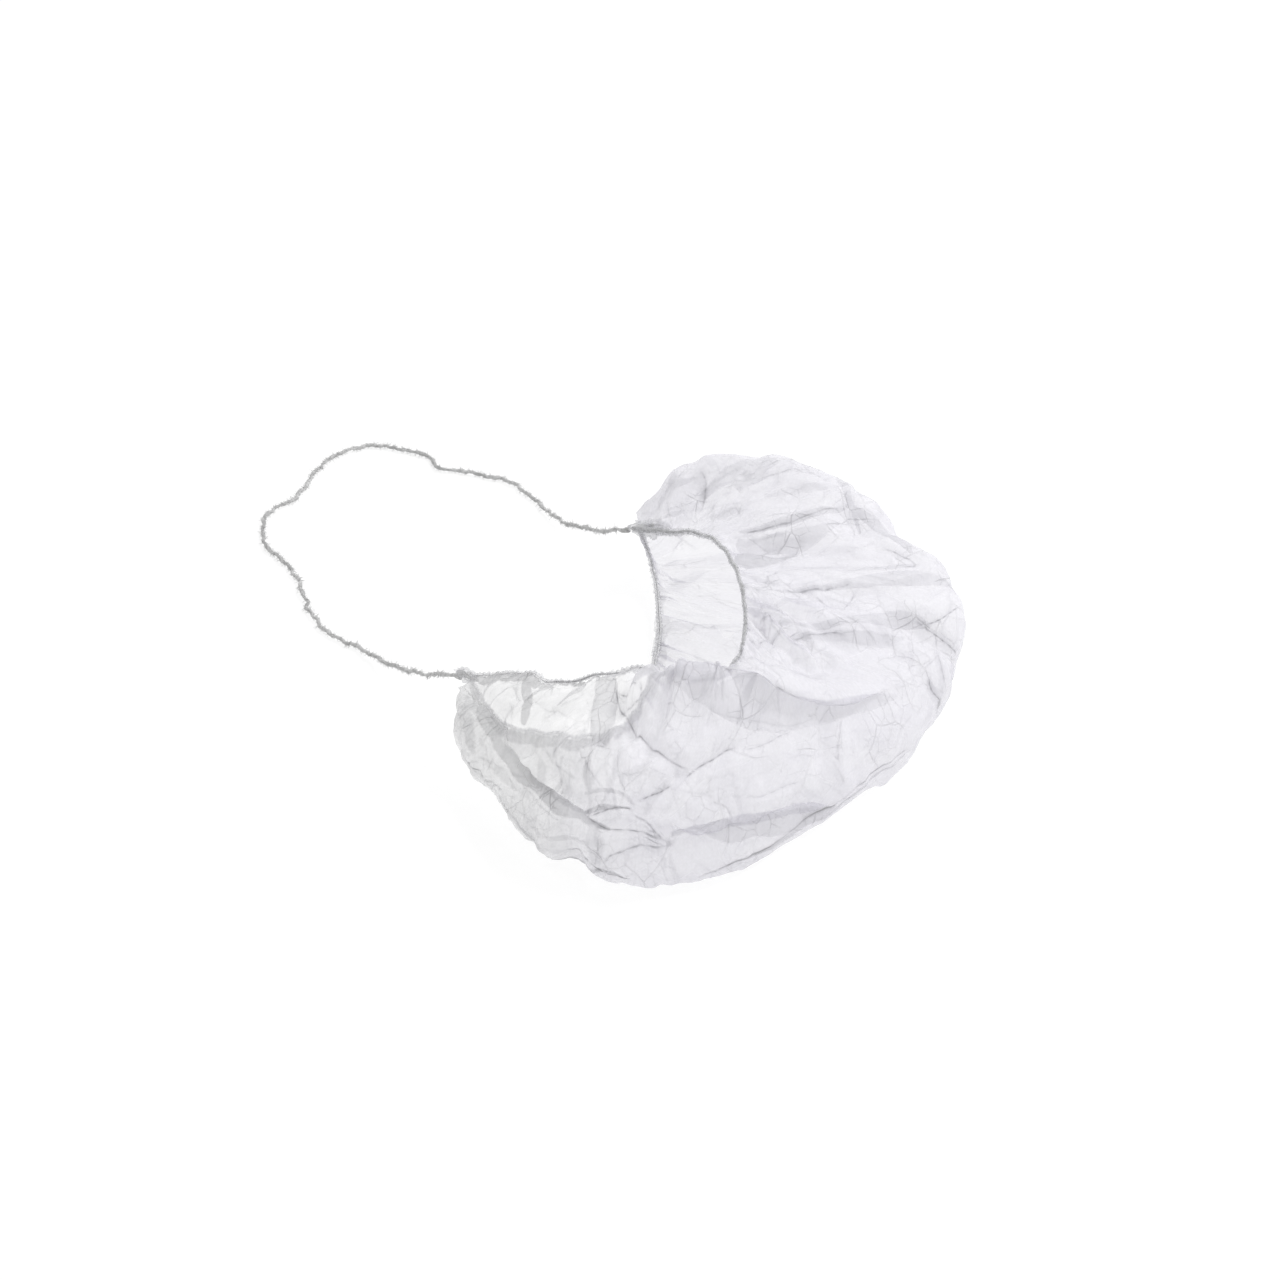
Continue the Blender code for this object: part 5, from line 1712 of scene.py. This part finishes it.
@dataclass
class HeadLoop:
    """The slack wrapped elastic that goes behind the head, with its fuzz of loose fibres."""

    diameter: float = 0.0024
    core_radius: float = 0.00062
    end_radius: float = 0.00110
    kink_depth: float = 0.00070
    upright_kink: float = 0.35
    route_points: int = 2400
    step: float = 0.00034
    end_fade: float = 0.006
    bunch_reach: float = 0.003
    floor_gap: float = 0.0001
    sides: int = 12
    ply_length: float = 0.0038
    fibre_count: int = 3600
    fibre_length: float = 0.0014
    fibre_radius: float = 0.00009
    seed: int = 23

    def prepare(self) -> None:
        """Work out the loop's path, kinked by its own twist."""
        route = np.array(LOOP_ROUTE)
        fine = smooth_read(route, np.linspace(0, len(route) - 1, self.route_points))
        self.path = even_steps(fine, self.step)
        places = lengths_along(self.path)
        flat = np.stack([places, np.zeros(len(places)), np.zeros(len(places))], axis=1)
        from_end = np.minimum(places, places[-1] - places)
        ends = np.clip(from_end / self.end_fade, 0, 1)
        for axis, seed in ((0, 1), (1, 2), (2, 3)):
            share = self.upright_kink if axis == 2 else 1.0
            kink = self.kink_depth * (grain(flat, 230.0, seed) * 1.6 + grain(flat, 520.0, seed + 4))
            self.path[:, axis] += share * ends * kink
        self.lumps = 1 + 0.30 * grain(flat, 420.0, 9) + 0.22 * grain(flat, 160.0, 10)
        self.lumps += bell(from_end, self.bunch_reach) * (self.end_radius / self.core_radius - 1)
        self.path[:, 2] = np.maximum(self.path[:, 2], self.core_radius * self.lumps + self.floor_gap)
        self.places = places
        self.length = float(lengths_along(self.path)[-1])

    def build(self) -> bpy.types.Object:
        """Make the elastic as three twisted plies in one skin.

        Returns:
            The new object.
        """
        self.prepare()
        angle = np.linspace(0, 2 * np.pi, self.sides + 1)[None, :]
        twist = 1.5 * (angle - 2 * np.pi * self.places[:, None] / self.ply_length)
        plies = 0.84 + 0.26 * np.abs(np.cos(twist))
        radius = self.core_radius * self.lumps[:, None] * plies
        self.piece = Tube("loop_elastic", self.path, radius, self.sides).build()
        return self.piece

    def build_fibres(self) -> bpy.types.Object:
        """Make the loose fibres that stand out from the elastic.

        Returns:
            The new object.
        """
        chance = np.random.RandomState(self.seed)
        first, second = Tube("path", self.path, self.core_radius * self.lumps[:, None]).frames()
        curve = bpy.data.curves.new("loop_fibres", "CURVE")
        curve.dimensions = "3D"
        curve.bevel_depth = self.fibre_radius
        curve.bevel_resolution = 0
        for _ in range(self.fibre_count):
            spot = chance.randint(20, len(self.path) - 20)
            angle = chance.uniform(0, 2 * np.pi)
            out = first[spot] * np.cos(angle) + second[spot] * np.sin(angle)
            along = self.path[spot + 1] - self.path[spot]
            lean = unit(along) * chance.normal(0, 0.9) + unit(chance.normal(0, 1, 3)) * 0.5
            reach = self.fibre_length * chance.uniform(0.35, 1.25)
            start = self.path[spot] + out * self.core_radius * 0.6
            bend = unit(chance.normal(0, 1, 3)) * reach * 0.35
            spline = curve.splines.new("POLY")
            spline.points.add(3)
            for number, point in enumerate(spline.points):
                share = number / 3
                place = start + unit(out + lean) * reach * share + bend * share**2
                place[2] = max(place[2], self.floor_gap)
                point.co = (*place, 1.0)
                point.radius = 1.0 - 0.6 * share
        self.fibres = bpy.data.objects.new("loop_fibres", curve)
        bpy.context.scene.collection.objects.link(self.fibres)
        return self.fibres

    def dress(self, elastic: bpy.types.Material, fibre: bpy.types.Material) -> None:
        """Give the loop its materials and say what it is.

        Args:
            elastic: the wrapped elastic's material.
            fibre: the loose fibres' material.
        """
        for piece, finish in ((self.piece, elastic), (self.fibres, fibre)):
            piece.data.materials.append(finish)
            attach(piece, "root")
        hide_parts("head_loop")


@dataclass(frozen=True)
class PhotoCamera:
    """The camera, at the photograph's place and angle."""

    eye: tuple = (-0.6574, -0.4261, 0.6994)
    target: tuple = (0.02538, 0.05192, 0.0)
    lens: float = 85.0
    sensor: float = 36.0

    def build(self) -> bpy.types.Object:
        """Make the camera and use it.

        Returns:
            The camera.
        """
        data = bpy.data.cameras.new("photo_camera")
        data.lens = self.lens
        data.sensor_width = self.sensor
        data.clip_start = 0.01
        camera = bpy.data.objects.new("photo_camera", data)
        camera.location = self.eye
        aim = Vector(self.target) - Vector(self.eye)
        camera.rotation_euler = aim.to_track_quat("-Z", "Y").to_euler()
        bpy.context.scene.collection.objects.link(camera)
        bpy.context.scene.camera = camera
        return camera


@dataclass(frozen=True)
class SoftLight:
    """A large soft studio light that faces a point near the cover."""

    name: str
    place: tuple
    size: float
    power: float

    def build(self) -> bpy.types.Object:
        """Make the light.

        Returns:
            The light.
        """
        data = bpy.data.lights.new(self.name, "AREA")
        data.shape = "SQUARE"
        data.size = self.size
        data.energy = self.power
        light = bpy.data.objects.new(self.name, data)
        light.location = self.place
        aim = Vector((0.0, 0.0, 0.0)) - Vector(self.place)
        light.rotation_euler = aim.to_track_quat("-Z", "Y").to_euler()
        bpy.context.scene.collection.objects.link(light)
        return light


@dataclass
class Studio:
    """The pale floor, the even light and how the picture is shown."""

    world_strength: float = 0.72
    floor_size: float = 3.0
    lights: tuple = (
        SoftLight("key_light", (0.95, -0.45, 1.2), 0.6, 14.0),
        SoftLight("fill_light", (-0.5, 0.9, 1.3), 1.2, 2.0),
    )

    def build(self) -> None:
        """Make the floor and the lights."""
        scene = bpy.context.scene
        scene.view_settings.view_transform = "Standard"
        scene.cycles.transparent_max_bounces = 20
        world = bpy.data.worlds.new("even_light")
        world.use_nodes = True
        shade = world.node_tree.nodes["Background"]
        shade.inputs["Color"].default_value = (1.0, 1.0, 1.0, 1.0)
        shade.inputs["Strength"].default_value = self.world_strength
        scene.world = world
        for light in self.lights:
            light.build()
        mesh = bmesh.new()
        bmesh.ops.create_grid(mesh, x_segments=1, y_segments=1, size=self.floor_size)
        floor = add_object("floor", mesh)
        floor.data.materials.append(PaperFinish().make())


def main() -> None:
    """Build the camera, the head loop, the fabric, the hems and the joins, and report each piece."""
    logging.basicConfig(level=logging.INFO, format="%(message)s")
    plan = CoverPlan()
    PhotoCamera().build()

    nonwoven = NonwovenFinish().make()
    # The hem elastics' grey is partly their own tone and partly painted shade between their dense fibres.
    core = FibrousFinish("hem_elastic", (0.56, 0.56, 0.565, 1), (0.34, 0.34, 0.345, 1), 700.0).make()
    hem = FibrousFinish("gathered_hem", (0.78, 0.78, 0.80, 1), (0.55, 0.55, 0.56, 1), 700.0, opacity=0.30).make()
    frill = FibrousFinish("frilled_edge", (0.80, 0.80, 0.82, 1), (0.60, 0.60, 0.62, 1), 800.0, opacity=0.34).make()
    thin_core = FibrousFinish("thin_elastic", (0.68, 0.68, 0.685, 1), (0.46, 0.46, 0.465, 1), 700.0).make()
    elastic = FibrousFinish("wrapped_elastic", (0.64, 0.64, 0.64, 1), (0.36, 0.36, 0.36, 1), 800.0).make()
    fibre = FibrousFinish("loose_fibres", (0.60, 0.60, 0.60, 1), (0.44, 0.44, 0.44, 1), 900.0).make()

    loop = HeadLoop()
    loop.build()
    loop.build_fibres()
    loop.dress(elastic, fibre)
    LOG.info("head loop: %.3f m long, %d fibres", loop.length, loop.fibre_count)

    pouch = FabricPouch(plan)
    pouch.build()
    pouch.dress(nonwoven)
    LOG.info("pouch fabric: %d faces", len(pouch.piece.data.polygons))

    for gathered in (
        GatheredHem(plan, Rim.MOUTH, "mouth_rim", 0.00050, MOUTH_FULLNESS, MOUTH_TAUT, seed=11),
        GatheredHem(plan, Rim.THROAT, "throat_rim", 0.00031, THROAT_FULLNESS, THROAT_TAUT, seed=12),
    ):
        gathered.build()
        gathered.dress(core if gathered.rim is Rim.MOUTH else thin_core, hem, frill)
        LOG.info("%s hem: %.3f m long", gathered.rim.value, float(lengths_along(gathered.line)[-1]))

    for bunch in (
        BunchedJoin(plan, Side.RIGHT, "right_join", 0.0080, 0.0021, (0.0, 0.0010, 0.0), 0.0, 0.0034),
        BunchedJoin(plan, Side.LEFT, "left_join", 0.0130, 0.0029, (0.0025, -0.0035, 0.0002), 0.615, 0.0058),
    ):
        bunch.build()
        bunch.build_halo()
        bunch.dress(elastic, frill)
        LOG.info("%s join", bunch.side.name.lower())

    Studio().build()


if __name__ == "__main__":
    main()
